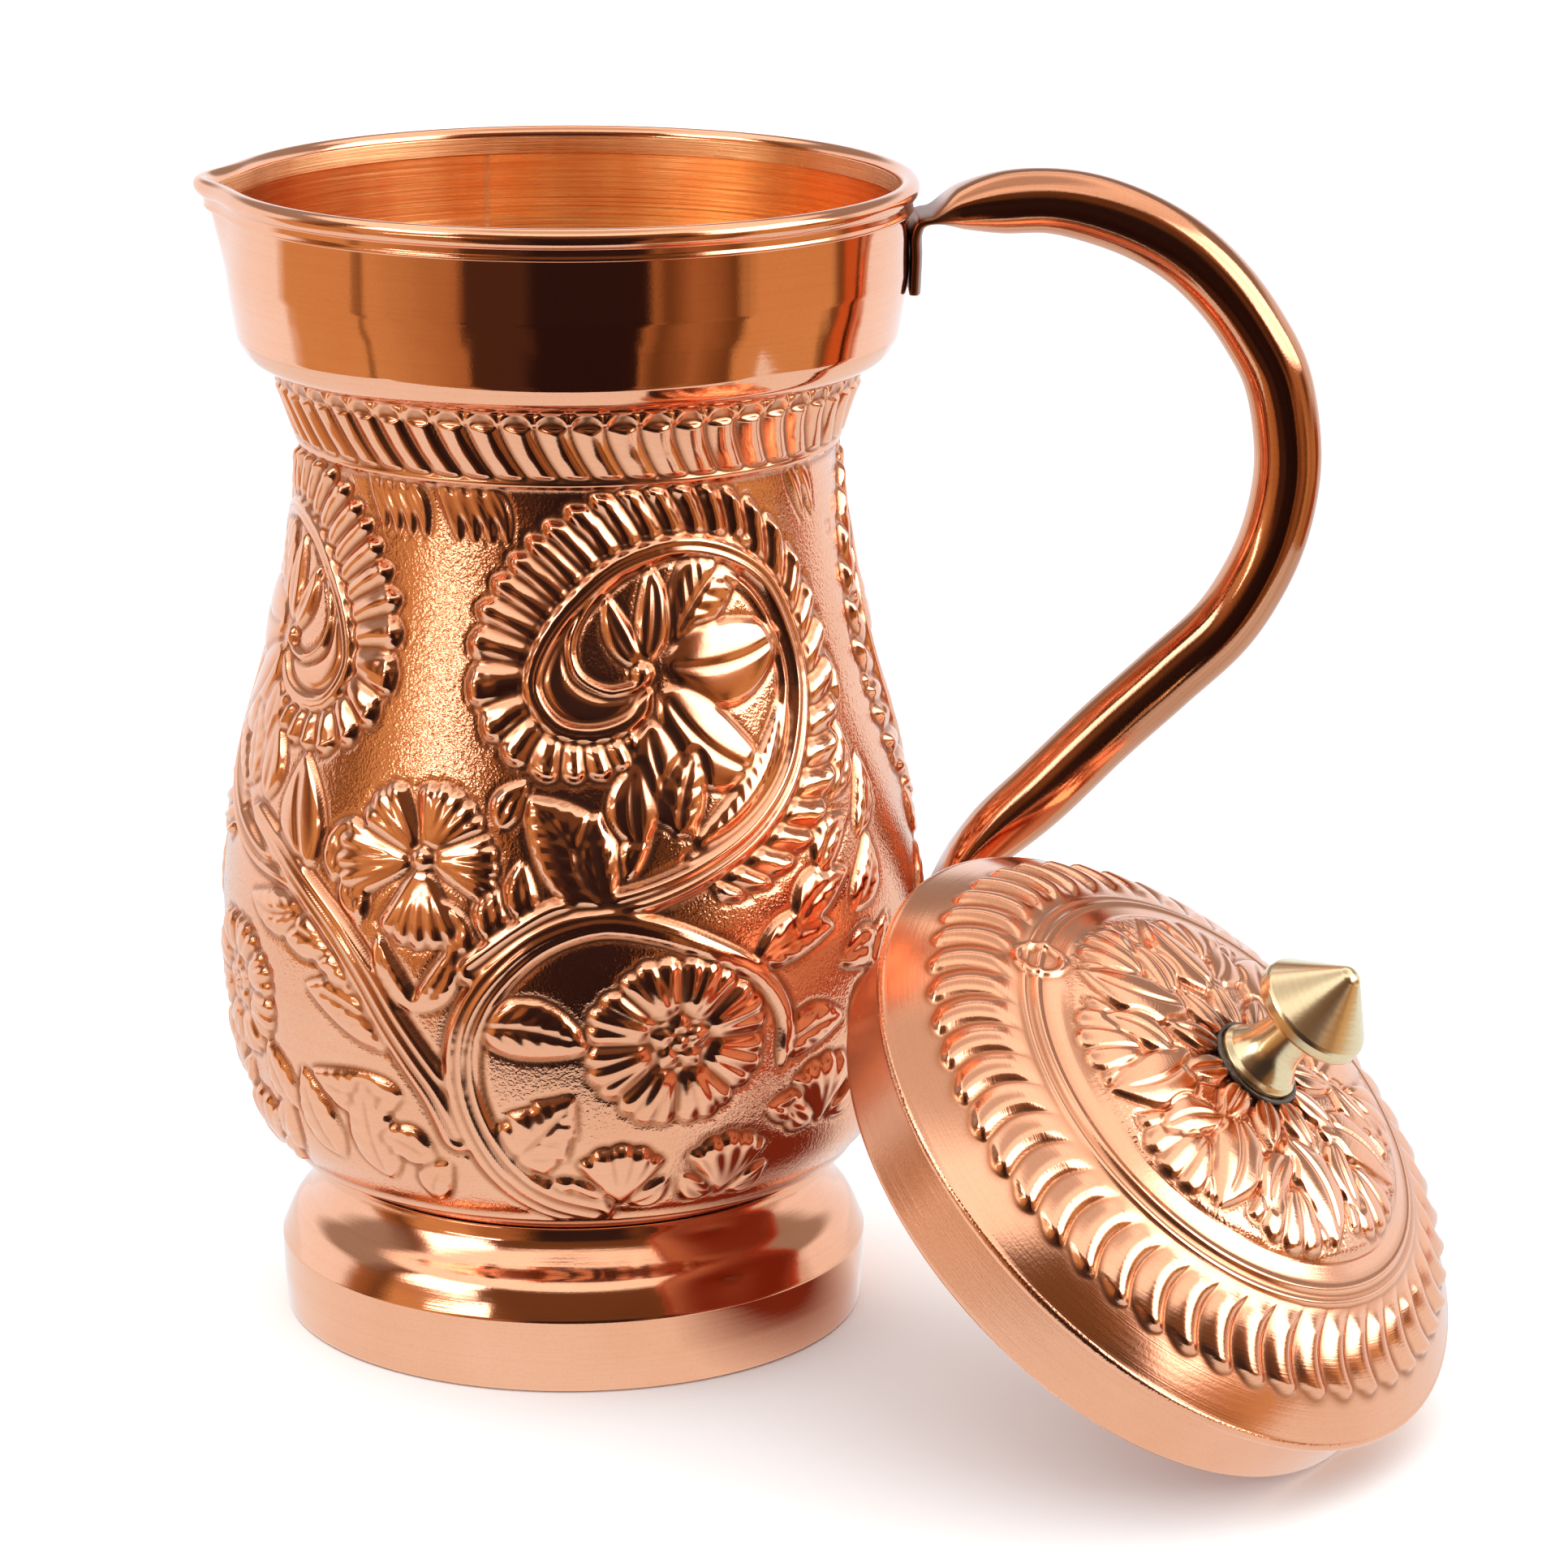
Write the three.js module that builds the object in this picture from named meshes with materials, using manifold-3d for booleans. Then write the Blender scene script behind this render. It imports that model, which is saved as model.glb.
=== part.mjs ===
// A lidded copper water jug: embossed belly and neck, plain collar with a pouring lip, wired rim,
// foot ring closed by a base plate, tubular handle, and a domed lid with a turned knob.
// Millimetres, +Z up, jug axis on Z, table at Z = 0, handle towards +X, pouring lip towards -X.
// The lid is off the jug and leans beside it on the edge of its skirt.
import * as THREE from "three";
import Module from "manifold-3d";

const manifold = await Module();
manifold.setup();

// Sheet and fits
const SHEET = 0.9; // wall of every raised or spun piece
const HEM_SHEET = 0.5;
const FIT_GAP = 0.3; // between pieces that are brazed, folded or screwed together
const HEM_GAP = 0.25; // between the folded hem and what it is folded over
const BRAZE_GAP = 0.35; // between a handle end and the wall it is brazed to
const REST_GAP = 0.1; // between the leaning lid and the table

// Jug body
const BELLY_R = 62.2; // outside, at the widest
const BELLY_Z = 76.5;
const COLLAR_R = 59.15; // outside, at the top of the collar above the neck
const NECK_R = COLLAR_R - 12.15; // outside, at the narrowest of the neck
const NECK_Z = 156.5;
const CREASE_R = 44.4; // where the belly meets the foot
const CREASE_Z = 27.5;
const LIP_R = NECK_R + 3.8; // the neck's top lip, which stands up inside the collar
const LIP_Z = 171.2;
const LIP_HEIGHT = 3.5;

// Collar, hem and rim
const COLLAR_EDGE_R = COLLAR_R - 1.55; // outside, at the lower corner
const COLLAR_EDGE_Z = 177.2;
const RIM_Z = 202.45; // centre of the rim wire
const RIM_BEAD_R = 1.75; // half the thickness of the rolled rim
const HEM_HEIGHT = 3.7; // from the rim wire down to the hem's lower edge, outside
const HEM_INSIDE_HEIGHT = 3.2;
const HEM_LINE = 0.35; // how far the hem's lower edge stands proud

// Pouring lip
const LIP_REACH = 3.4;
const LIP_SPREAD = 0.15; // radians, half of the pinched arc
const LIP_START_Z = 188;

// Foot
const FOOT_R = 52.7;
const FOOT_BASE_R = FOOT_R - 0.7;
const FOOT_BAND_Z = 13;
const BASE_SHEET = 1.2;

// Handle: a copper tube whose two ends are flattened
const TUBE_R = 6;
const TONGUE_WIDTH = 8; // half of the flattened width
const TONGUE_THICKNESS = 1.25; // half of the flattened thickness
const TAB_HEIGHT = 13; // of the end that is bent down onto the collar
const TONGUE_DROP = 1.65; // of the tongue's middle under the hem's lower edge
const PAD_Z = 65.5; // lower end of the pad on the belly

// Lid, in its own frame: axis on Z, edge plane at Z = 0
const LID_R = COLLAR_R + 1.75;
const DOME_HEIGHT = 21.8;
const DOME_POWER = 2.65;
const EDGE_BEAD_R = 1.2;
const LID_FIT = 0.5; // between the skirt and the mouth
const SKIRT_DEPTH = 14.7;
const SKIRT_LAP = 5.5; // the skirt's inturned edge under the dome
const LAP_SLACK = 0.15; // keeps the straight lap clear of the curved dome between its ends
const STEP_R = LID_R * 0.575; // raised step round the medallion
const STEP_HEIGHT = 0.9;

// Knob
const KNOB_FOOT_R = 7.4;
const KNOB_STEM_R = 4;
const KNOB_HEAD_R = 10.3;
const KNOB_HEAD_Z = 13.7; // underside of the head above the dome
const KNOB_HEAD_HEIGHT = 12.4;
const KNOB_TIP_R = 2.6;
const STUD_R = 3;
const STUD_LENGTH = 6.5;
const NUT_ACROSS_FLATS = 10;
const NUT_HEIGHT = 3.2;
const SOLDER_R = 0.6; // half the thickness of the ring of solder round the knob's foot

// How the lid leans
const LEAN = THREE.MathUtils.degToRad(47.15); // elevation of the lid's axis
const LID_BEARING = THREE.MathUtils.degToRad(-33.8); // direction from the jug's axis to the lid
const BELLY_CLEARANCE = 7; // between the belly and the skirt's upper edge

const SEGMENTS = 48;
const MOUTH_SEGMENTS = 60;
const KNOB_SEGMENTS = 24;

const copper = (name, hex) =>
  new THREE.MeshStandardMaterial({ name, color: hex, metalness: 1, roughness: 0.25 });

function named(name, geometry, hex) {
  const mesh = new THREE.Mesh(geometry, copper(name, hex));
  mesh.name = name;
  return mesh;
}

// A solid of revolution about Z from an outline of [radius, height] points, counter-clockwise.
function revolve(outline, segments) {
  const points = outline.map(([r, z]) => new THREE.Vector2(r, z));
  return new THREE.LatheGeometry(points, segments).rotateX(Math.PI / 2);
}

const closed = (outline) => [...outline, outline[0]];

// A smooth line through a few [radius, height] points.
function smooth(points, steps) {
  const curve = new THREE.SplineCurve(points.map(([r, z]) => new THREE.Vector2(r, z)));
  return curve.getPoints(steps).map((p) => [p.x, p.y]);
}

// The same line moved inwards by a sheet's thickness, for a line drawn upwards.
function inset(line, thickness) {
  return line.map(([r, z], i) => {
    const [r0, z0] = line[Math.max(i - 1, 0)];
    const [r1, z1] = line[Math.min(i + 1, line.length - 1)];
    const length = Math.hypot(r1 - r0, z1 - z0);
    return [r - (thickness * (z1 - z0)) / length, z + (thickness * (r1 - r0)) / length];
  });
}

const arc = (r, z, radius, from, to, steps) =>
  Array.from({ length: steps + 1 }, (_, i) => {
    const angle = from + ((to - from) * i) / steps;
    return [r + radius * Math.cos(angle), z + radius * Math.sin(angle)];
  });

// Belly, neck and flat floor in one raised piece, ending in a lip inside the collar.
function bellyShell() {
  const wall = smooth(
    [
      [CREASE_R, CREASE_Z],
      [BELLY_R - 8, CREASE_Z + 7.3],
      [BELLY_R - 2.6, CREASE_Z + 20.5],
      [BELLY_R, BELLY_Z],
      [BELLY_R - 3.3, BELLY_Z + 22],
      [(BELLY_R + NECK_R) / 2 - 0.5, (BELLY_Z + NECK_Z) / 2 + 2.5],
      [NECK_R + 1.9, NECK_Z - 14.3],
      [NECK_R, NECK_Z],
      [NECK_R + 1.6, NECK_Z + 8.2],
      [LIP_R, LIP_Z],
    ],
    18,
  );
  const inside = inset(wall, SHEET);
  inside[0] = [CREASE_R - SHEET, CREASE_Z + SHEET];
  const lipTop = LIP_Z + LIP_HEIGHT;
  const outline = [
    [0, CREASE_Z],
    ...wall,
    [LIP_R, lipTop],
    [LIP_R - SHEET, lipTop],
    ...inside.reverse(),
    [0, CREASE_Z + SHEET],
  ];
  return revolve(outline, SEGMENTS);
}

// Moves a mouth piece outwards near the pouring lip, more towards the rim.
function pinch(geometry) {
  const p = geometry.attributes.position;
  for (let i = 0; i < p.count; i++) {
    const angle = Math.atan2(p.getY(i), -p.getX(i));
    const rise = THREE.MathUtils.clamp((p.getZ(i) - LIP_START_Z) / (RIM_Z - LIP_START_Z), 0, 1.2);
    const push = LIP_REACH * Math.exp(-((angle / LIP_SPREAD) ** 2)) * rise;
    p.setX(i, p.getX(i) - push * Math.cos(angle));
    p.setY(i, p.getY(i) + push * Math.sin(angle));
  }
  return geometry;
}

function mouthCollar() {
  const wall = [
    [LIP_R + FIT_GAP, LIP_Z + 0.5],
    ...smooth(
      [
        [LIP_R + 2.6, LIP_Z + 1.4],
        [COLLAR_EDGE_R - 1.7, COLLAR_EDGE_Z - 3],
        [COLLAR_EDGE_R, COLLAR_EDGE_Z],
      ],
      5,
    ),
    [COLLAR_R - 0.5, (COLLAR_EDGE_Z + LIP_START_Z) / 2 + 1],
    [COLLAR_R, LIP_START_Z],
    [COLLAR_R, RIM_Z - RIM_BEAD_R + HEM_SHEET],
  ];
  const inside = inset(wall, SHEET);
  inside[0] = [LIP_R + FIT_GAP, LIP_Z + 0.5 + SHEET];
  return pinch(revolve(closed([...wall, ...inside.reverse()]), MOUTH_SEGMENTS));
}

const HEM_IN = COLLAR_R - SHEET - HEM_GAP - HEM_SHEET; // the mouth's clear radius
const HEM_OUT = COLLAR_R + HEM_GAP + HEM_SHEET;
const BEAD_CENTRE_R = HEM_IN + RIM_BEAD_R;

// A strip folded over the collar's edge and round the rim wire.
function rimHem() {
  const hollow = RIM_BEAD_R - HEM_SHEET;
  const outerMeet = -Math.acos((HEM_OUT - BEAD_CENTRE_R) / RIM_BEAD_R);
  const innerMeet = -Math.acos((HEM_OUT - HEM_SHEET - BEAD_CENTRE_R) / hollow);
  const foot = RIM_Z - HEM_HEIGHT;
  const outline = [
    [HEM_OUT - HEM_SHEET, foot],
    [HEM_OUT + HEM_LINE, foot],
    [HEM_OUT + HEM_LINE, foot + 0.7],
    [HEM_OUT, foot + 1],
    ...arc(BEAD_CENTRE_R, RIM_Z, RIM_BEAD_R, outerMeet, Math.PI, 9),
    [HEM_IN, RIM_Z - HEM_INSIDE_HEIGHT],
    [HEM_IN + HEM_SHEET, RIM_Z - HEM_INSIDE_HEIGHT],
    ...arc(BEAD_CENTRE_R, RIM_Z, hollow, Math.PI, innerMeet, 7),
  ];
  return pinch(revolve(closed(outline), MOUTH_SEGMENTS));
}

function rimWire() {
  const radius = RIM_BEAD_R - HEM_SHEET - HEM_GAP;
  const outline = arc(BEAD_CENTRE_R, RIM_Z, radius, 0, 2 * Math.PI, 8).slice(0, -1);
  return pinch(revolve(closed(outline), MOUTH_SEGMENTS));
}

function footRing() {
  const wall = [
    [FOOT_BASE_R, 0],
    [FOOT_R - 0.2, FOOT_BAND_Z / 2],
    ...smooth(
      [
        [FOOT_R, FOOT_BAND_Z],
        [FOOT_R - 2.3, FOOT_BAND_Z + 5],
        [CREASE_R + 3, CREASE_Z - 6.3],
        [CREASE_R + 0.7, CREASE_Z - 3],
        [CREASE_R, CREASE_Z - FIT_GAP],
      ],
      9,
    ),
  ];
  const inside = inset(wall, SHEET);
  inside[0] = [FOOT_BASE_R - SHEET, 0];
  inside[inside.length - 1] = [CREASE_R - SHEET, CREASE_Z - FIT_GAP];
  return revolve(closed([...wall, ...inside.reverse()]), SEGMENTS);
}

function basePlate() {
  const edge = FOOT_BASE_R - SHEET - FIT_GAP;
  return revolve(
    [
      [0, 0],
      [edge, 0],
      [edge, BASE_SHEET],
      [0, BASE_SHEET],
    ],
    SEGMENTS,
  );
}

// Stations of the handle's middle line from the collar to the belly:
// [outwards from the line between its two ends, share of the height between them, half width,
// half thickness]. The line starts at the tab's lower end and ends at the pad's lower end.
function handleStations() {
  const tongueZ = RIM_Z - HEM_HEIGHT - TONGUE_DROP;
  const w = TONGUE_WIDTH;
  const t = TONGUE_THICKNESS;
  const tabShare = TAB_HEIGHT / (tongueZ - PAD_Z);
  const table = [
    [-0.3, 1 - tabShare, w, t],
    [0, 1 - tabShare / 2, w, t],
    [0, 1 - tabShare / 4.5, w, t],
    [0.9, 1 - tabShare / 18, w, t],
    [3, 1, w, 1.1],
    [7.5, 1.009, 7.2, 3.7],
    [14.7, 1.015, 6.3, 5.4],
    [23.2, 1.017, TUBE_R, 5.7],
    [31, 1.006, TUBE_R, TUBE_R],
    [40, 0.98, TUBE_R, TUBE_R],
    [48, 0.942, TUBE_R, TUBE_R],
    [54.5, 0.893, TUBE_R, TUBE_R],
    [59.4, 0.84, TUBE_R, TUBE_R],
    [63, 0.786, TUBE_R, TUBE_R],
    [64.8, 0.72, TUBE_R, TUBE_R],
    [65, 0.649, TUBE_R, TUBE_R],
    [62.6, 0.566, TUBE_R, TUBE_R],
    [58.7, 0.501, TUBE_R, TUBE_R],
    [53.1, 0.439, TUBE_R, TUBE_R],
    [42.8, 0.367, TUBE_R, TUBE_R],
    [31.6, 0.291, TUBE_R, TUBE_R],
    [20, 0.206, TUBE_R, TUBE_R],
    [12.6, 0.157, 6.4, 5.5],
    [6.8, 0.115, 7.1, 3.9],
    [2.9, 0.08, w, 2],
    [0.5, 0.043, w, t],
    [0, 0, w, t],
  ];
  const top = COLLAR_R + BRAZE_GAP + t;
  const bottom = BELLY_R + BRAZE_GAP + t;
  return table.map(([out, share, halfWidth, halfThickness]) => ({
    x: bottom + (top - bottom) * THREE.MathUtils.smoothstep(share, 0, 1) + out,
    z: PAD_Z + (tongueZ - PAD_Z) * share,
    halfWidth,
    halfThickness,
  }));
}

const HANDLE_SIDES = 12;
const RINGS_PER_STATION = 2;

// One cross-section: round where it is a tube, squarer where it is flattened.
function section(middle, across, halfWidth, halfThickness) {
  const flatness = Math.min(halfThickness / halfWidth, 1);
  const power = THREE.MathUtils.lerp(0.5, 1, flatness);
  const bend = (v) => Math.sign(v) * Math.abs(v) ** power;
  return Array.from({ length: HANDLE_SIDES }, (_, i) => {
    const angle = (2 * Math.PI * i) / HANDLE_SIDES;
    return new THREE.Vector3(0, halfWidth * bend(Math.cos(angle)), 0)
      .addScaledVector(across, halfThickness * bend(Math.sin(angle)))
      .add(middle);
  });
}

function handleTube() {
  const stations = handleStations();
  const path = new THREE.CatmullRomCurve3(stations.map((s) => new THREE.Vector3(s.x, 0, s.z)));
  const sizes = new THREE.CatmullRomCurve3(
    stations.map((s) => new THREE.Vector3(s.halfWidth, s.halfThickness, 0)),
  );
  const rings = (stations.length - 1) * RINGS_PER_STATION;
  const outer = [];
  const inner = [];
  for (let i = 0; i <= rings; i++) {
    const middle = path.getPoint(i / rings);
    const along = path.getTangent(i / rings);
    const across = new THREE.Vector3(along.z, 0, -along.x);
    const size = sizes.getPoint(i / rings);
    outer.push(section(middle, across, size.x, size.y));
    inner.push(section(middle, across, size.x - SHEET, size.y - SHEET));
  }
  // Round the wall's own outline: out along the tube, back along the bore.
  const loops = [...outer, ...inner.reverse()];
  const positions = loops.flat().flatMap((v) => [v.x, v.y, v.z]);
  const faces = [];
  loops.forEach((_, i) => {
    const next = (i + 1) % loops.length;
    for (let k = 0; k < HANDLE_SIDES; k++) {
      const m = (k + 1) % HANDLE_SIDES;
      const [a, b] = [i * HANDLE_SIDES + k, i * HANDLE_SIDES + m];
      const [c, d] = [next * HANDLE_SIDES + m, next * HANDLE_SIDES + k];
      faces.push(a, c, b, a, d, c);
    }
  });
  const geometry = new THREE.BufferGeometry();
  geometry.setAttribute("position", new THREE.Float32BufferAttribute(positions, 3));
  geometry.setIndex(faces);
  return geometry;
}

const domeZ = (r) => DOME_HEIGHT * (1 - (r / LID_R) ** DOME_POWER);

// The height at radius r of a surface that lies a given depth under the dome, square to it.
function underDome(r, depth) {
  const slope = (DOME_POWER * DOME_HEIGHT * (r / LID_R) ** (DOME_POWER - 1)) / LID_R;
  return domeZ(r) - depth * Math.hypot(1, slope);
}

// Embossed dome with a rolled edge and a hole for the knob's stud.
function lidCover() {
  const hole = STUD_R + FIT_GAP;
  const edge = LID_R - EDGE_BEAD_R;
  const radii = [0.93, 0.855, 0.77, 0.69, 0.63].map((share) => share * LID_R);
  const crown = [STEP_R, ...[0.49, 0.39, 0.28, 0.16].map((share) => share * LID_R), hole];
  const top = [
    ...arc(edge, -0.4, EDGE_BEAD_R, -Math.PI / 2, Math.PI / 4, 5),
    ...radii.map((r) => [r, domeZ(r)]),
    ...crown.map((r) => [r, domeZ(r) + STEP_HEIGHT * Math.min(1, (LID_R - r) / LID_R + 0.4)]),
  ];
  const underside = [...radii, STEP_R + 1, ...crown.slice(1)].map((r) => [r, underDome(r, SHEET)]);
  const heel = [edge - EDGE_BEAD_R, -0.4];
  return revolve(closed([...top, ...underside.reverse(), heel]), SEGMENTS);
}

const SKIRT_R = HEM_IN - LID_FIT;

function lidSkirt() {
  const lapR = SKIRT_R - SKIRT_LAP;
  const edgeZ = underDome(SKIRT_R, SHEET + FIT_GAP) - LAP_SLACK;
  const lapZ = underDome(lapR, SHEET + FIT_GAP) - LAP_SLACK;
  return revolve(
    closed([
      [SKIRT_R, -SKIRT_DEPTH],
      [SKIRT_R, edgeZ],
      [lapR, lapZ],
      [lapR, lapZ - SHEET],
      [SKIRT_R - SHEET, edgeZ - SHEET],
      [SKIRT_R - SHEET, -SKIRT_DEPTH],
    ]),
    SEGMENTS,
  );
}

const CROWN_Z = DOME_HEIGHT + STEP_HEIGHT;

// Turned knob: stud, flared foot, waisted stem, banded cone head with a rounded tip.
function lidKnob() {
  const seat = CROWN_Z + FIT_GAP;
  const headZ = CROWN_Z + KNOB_HEAD_Z;
  const top = headZ + KNOB_HEAD_HEIGHT;
  const outline = [
    [0, seat - STUD_LENGTH],
    [STUD_R, seat - STUD_LENGTH],
    [STUD_R, seat],
    [KNOB_FOOT_R, seat],
    [KNOB_FOOT_R, seat + 1.2],
    ...smooth(
      [
        [KNOB_FOOT_R - 0.8, seat + 2],
        [KNOB_STEM_R + 0.9, seat + 5.5],
        [KNOB_STEM_R, headZ - 1.5],
      ],
      5,
    ),
    [KNOB_STEM_R, headZ],
    [KNOB_HEAD_R - 0.5, headZ],
    [KNOB_HEAD_R, headZ + 0.5],
    [KNOB_HEAD_R, headZ + 2.4],
    ...arc(0, top - KNOB_TIP_R, KNOB_TIP_R, Math.PI / 5, Math.PI / 2, 4),
  ];
  outline[outline.length - 1] = [0, top];
  return revolve(outline, KNOB_SEGMENTS);
}

function solderRing() {
  const radius = KNOB_FOOT_R + FIT_GAP + SOLDER_R;
  const z = CROWN_Z + FIT_GAP + SOLDER_R;
  const outline = arc(radius, z, SOLDER_R, 0, 2 * Math.PI, 8).slice(0, -1);
  return revolve(closed(outline), KNOB_SEGMENTS);
}

function knobNut() {
  const { Manifold } = manifold;
  const corner = NUT_ACROSS_FLATS / Math.sqrt(3);
  const top = underDome(corner, SHEET + FIT_GAP);
  const bore = Manifold.cylinder(NUT_HEIGHT * 3, STUD_R + FIT_GAP, STUD_R + FIT_GAP, KNOB_SEGMENTS, true);
  const nut = Manifold.cylinder(NUT_HEIGHT, corner, corner, 6, false)
    .subtract(bore)
    .translate([0, 0, top - NUT_HEIGHT]);
  const mesh = nut.getMesh();
  const geometry = new THREE.BufferGeometry();
  geometry.setAttribute("position", new THREE.BufferAttribute(mesh.vertProperties, 3));
  geometry.setIndex(new THREE.BufferAttribute(mesh.triVerts, 1));
  return geometry;
}

// Places the lid so that its skirt's lower edge is just above the table.
function leaningLid(pieces) {
  const lid = new THREE.Group();
  lid.name = "lid";
  lid.add(...pieces);
  const cos = Math.cos(LEAN);
  const sin = Math.sin(LEAN);
  const distance = BELLY_R + SKIRT_DEPTH * cos + SKIRT_R * sin + BELLY_CLEARANCE;
  const height = SKIRT_DEPTH * sin + SKIRT_R * cos + REST_GAP;
  const away = new THREE.Vector3(Math.cos(LID_BEARING), Math.sin(LID_BEARING), 0);
  const axis = away.clone().multiplyScalar(cos).setZ(sin);
  lid.quaternion.setFromUnitVectors(new THREE.Vector3(0, 0, 1), axis);
  lid.position.copy(away.multiplyScalar(distance)).setZ(height);
  return lid;
}

const jug = new THREE.Group();
jug.name = "copper_water_jug";
jug.add(
  named("belly_shell", bellyShell(), 0xc87a54),
  named("mouth_collar", mouthCollar(), 0xd08560),
  named("rim_hem", rimHem(), 0xd9936c),
  named("rim_wire", rimWire(), 0xa8653f),
  named("foot_ring", footRing(), 0xc97c55),
  named("base_plate", basePlate(), 0xb56f4b),
  named("handle_tube", handleTube(), 0xbd6a40),
  leaningLid([
    named("lid_cover", lidCover(), 0xd08863),
    named("lid_skirt", lidSkirt(), 0xc47a52),
    named("lid_knob", lidKnob(), 0xd9b36a),
    named("knob_solder_ring", solderRing(), 0x4a4038),
    named("knob_nut", knobNut(), 0xb8924e),
  ]),
);

export default jug;
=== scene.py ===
"""Looks of the copper water jug: embossed belly and lid, plain collar and foot, tube handle, brass knob."""
import copy
import math
import bpy
import numpy as np
from mathutils import Matrix, Vector


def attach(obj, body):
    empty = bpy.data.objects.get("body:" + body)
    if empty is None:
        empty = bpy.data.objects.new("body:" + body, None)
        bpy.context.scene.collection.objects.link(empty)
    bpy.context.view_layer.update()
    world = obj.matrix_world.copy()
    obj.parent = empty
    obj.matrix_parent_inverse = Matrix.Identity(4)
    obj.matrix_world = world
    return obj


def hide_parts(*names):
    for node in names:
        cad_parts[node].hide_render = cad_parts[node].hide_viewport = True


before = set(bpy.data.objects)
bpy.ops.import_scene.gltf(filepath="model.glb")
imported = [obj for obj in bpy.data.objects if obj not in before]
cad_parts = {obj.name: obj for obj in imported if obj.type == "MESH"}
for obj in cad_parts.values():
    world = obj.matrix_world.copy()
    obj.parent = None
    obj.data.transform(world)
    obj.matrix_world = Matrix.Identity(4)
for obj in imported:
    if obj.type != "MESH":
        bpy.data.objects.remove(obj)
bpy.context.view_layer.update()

MM = 0.001
TAU = 2 * math.pi

# ---------------- sizes, mm, in the CAD frame
# _R is a radius, _Z a height above the table.
SHEET = 0.9
BELLY_R, BELLY_Z = 62.2, 76.5
COLLAR_R = 59.15
NECK_R, NECK_Z = COLLAR_R - 12.15, 156.5
CREASE_R, CREASE_Z = 44.4, 27.5
LIP_R, LIP_Z, LIP_HEIGHT = NECK_R + 3.8, 171.2, 3.5
EDGE_R, EDGE_Z = COLLAR_R - 1.55, 177.2
RIM_Z, BEAD_R = 202.45, 1.75
HEM_SHEET, HEM_HEIGHT, HEM_INSIDE, HEM_LINE = 0.5, 3.7, 3.2, 0.18
POUR_REACH, POUR_SPREAD, POUR_START = 3.4, 0.15, 188
FOOT_R, FOOT_BAND_Z = 52.7, 13
PAD_Z, TAB_HEIGHT, TONGUE_DROP, TUBE_R = 65.5, 13, 1.65, 6
FLAT_WIDE, FLAT_THIN = 8, 1.1
LID_R, DOME_HEIGHT, DOME_POWER = COLLAR_R + 1.75, 21.8, 2.65
STEP_R, STEP_HEIGHT = LID_R * 0.575, 0.9
CROWN_Z = DOME_HEIGHT + STEP_HEIGHT
LID_BEAD_R, KNOB_HOLE_R = 1.2, 3.3
KNOB_HEAD_R, KNOB_STEM_R, KNOB_BASE_R, KNOB_STUD_R, SOLDER_R = 10.3, 4, 7.4, 3, 0.5
LEAN, BEARING = math.radians(47.15), math.radians(-33.8)

# clearances
HEM_GAP, MOUTH_GAP, JOIN_GAP, KNOB_GAP = 0.25, 0.5, 0.3, 0.3
TAB_GAP, PAD_GAP = 0.12, 0.5
LID_TO_BELLY, LID_TO_TABLE = 7, 0.1

HEM_IN = COLLAR_R - SHEET - HEM_GAP - HEM_SHEET
HEM_OUT = COLLAR_R + HEM_GAP + HEM_SHEET
HEM_FOOT = RIM_Z - HEM_HEIGHT
SKIRT_R, SKIRT_DEPTH = HEM_IN - MOUTH_GAP, 14.7

# mesh columns round a piece
COLS_PER_DEGREE = 3
EMBOSSED_COLS, RIM_COLS, PLAIN_COLS, KNOB_COLS, SOLDER_COLS = 360 * COLS_PER_DEGREE, 720, 540, 220, 240
SEAM_COL = 292
GRAIN_SEED = 7


# ---------------- curves and meshes
def catmull(points, steps):
    """Points along a smooth line through the given points, `steps` spans in all, evenly by span."""
    p = np.array(points, float)
    p = np.vstack([p[0], p, p[-1]])
    t = np.linspace(0, len(p) - 3, steps + 1)
    k = np.minimum(t.astype(int), len(p) - 4)
    f = (t - k)[:, None]
    a, b, c, d = p[k], p[k + 1], p[k + 2], p[k + 3]
    v0, v1 = (c - a) / 2, (d - b) / 2
    return (2 * b - 2 * c + v0 + v1) * f**3 + (-3 * b + 3 * c - 2 * v0 - v1) * f**2 + v0 * f + b


def even(line, step):
    """The same line at even steps along its length."""
    line = np.asarray(line, float)
    s = np.concatenate([[0], np.cumsum(np.linalg.norm(np.diff(line, axis=0), axis=1))])
    t = np.linspace(0, s[-1], max(2, int(round(s[-1] / step)) + 1))
    return np.stack([np.interp(t, s, line[:, k]) for k in range(line.shape[1])], 1)


def arc(r, z, radius, start, end, steps):
    a = np.radians(np.linspace(start, end, steps + 1))
    return np.stack([r + radius * np.cos(a), z + radius * np.sin(a)], 1)


def outward(line):
    """Unit normals of a [radius, height] line drawn upwards, on its outer side."""
    g = np.gradient(line, axis=0)
    g /= np.linalg.norm(g, axis=1)[:, None] + 1e-12
    return np.stack([g[:, 1], -g[:, 0]], 1)


def add_mesh(name, verts, quads, uvs, sharp=None):
    mesh = bpy.data.meshes.new(name)
    mesh.vertices.add(len(verts))
    mesh.vertices.foreach_set("co", (verts * MM).astype(np.float32).ravel())
    mesh.loops.add(quads.size)
    mesh.loops.foreach_set("vertex_index", quads.astype(np.int32).ravel())
    mesh.polygons.add(len(quads))
    mesh.polygons.foreach_set("loop_start", np.arange(0, quads.size, 4, dtype=np.int32))
    mesh.uv_layers.new(name="OFBake").data.foreach_set("uv", uvs.astype(np.float32).ravel())
    mesh.update(calc_edges=True)
    mesh.validate()
    mesh.shade_smooth()
    if sharp:
        mesh.set_sharp_from_angle(angle=math.radians(sharp))
    piece = bpy.data.objects.new(name, mesh)
    bpy.context.scene.collection.objects.link(piece)
    return piece


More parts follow.
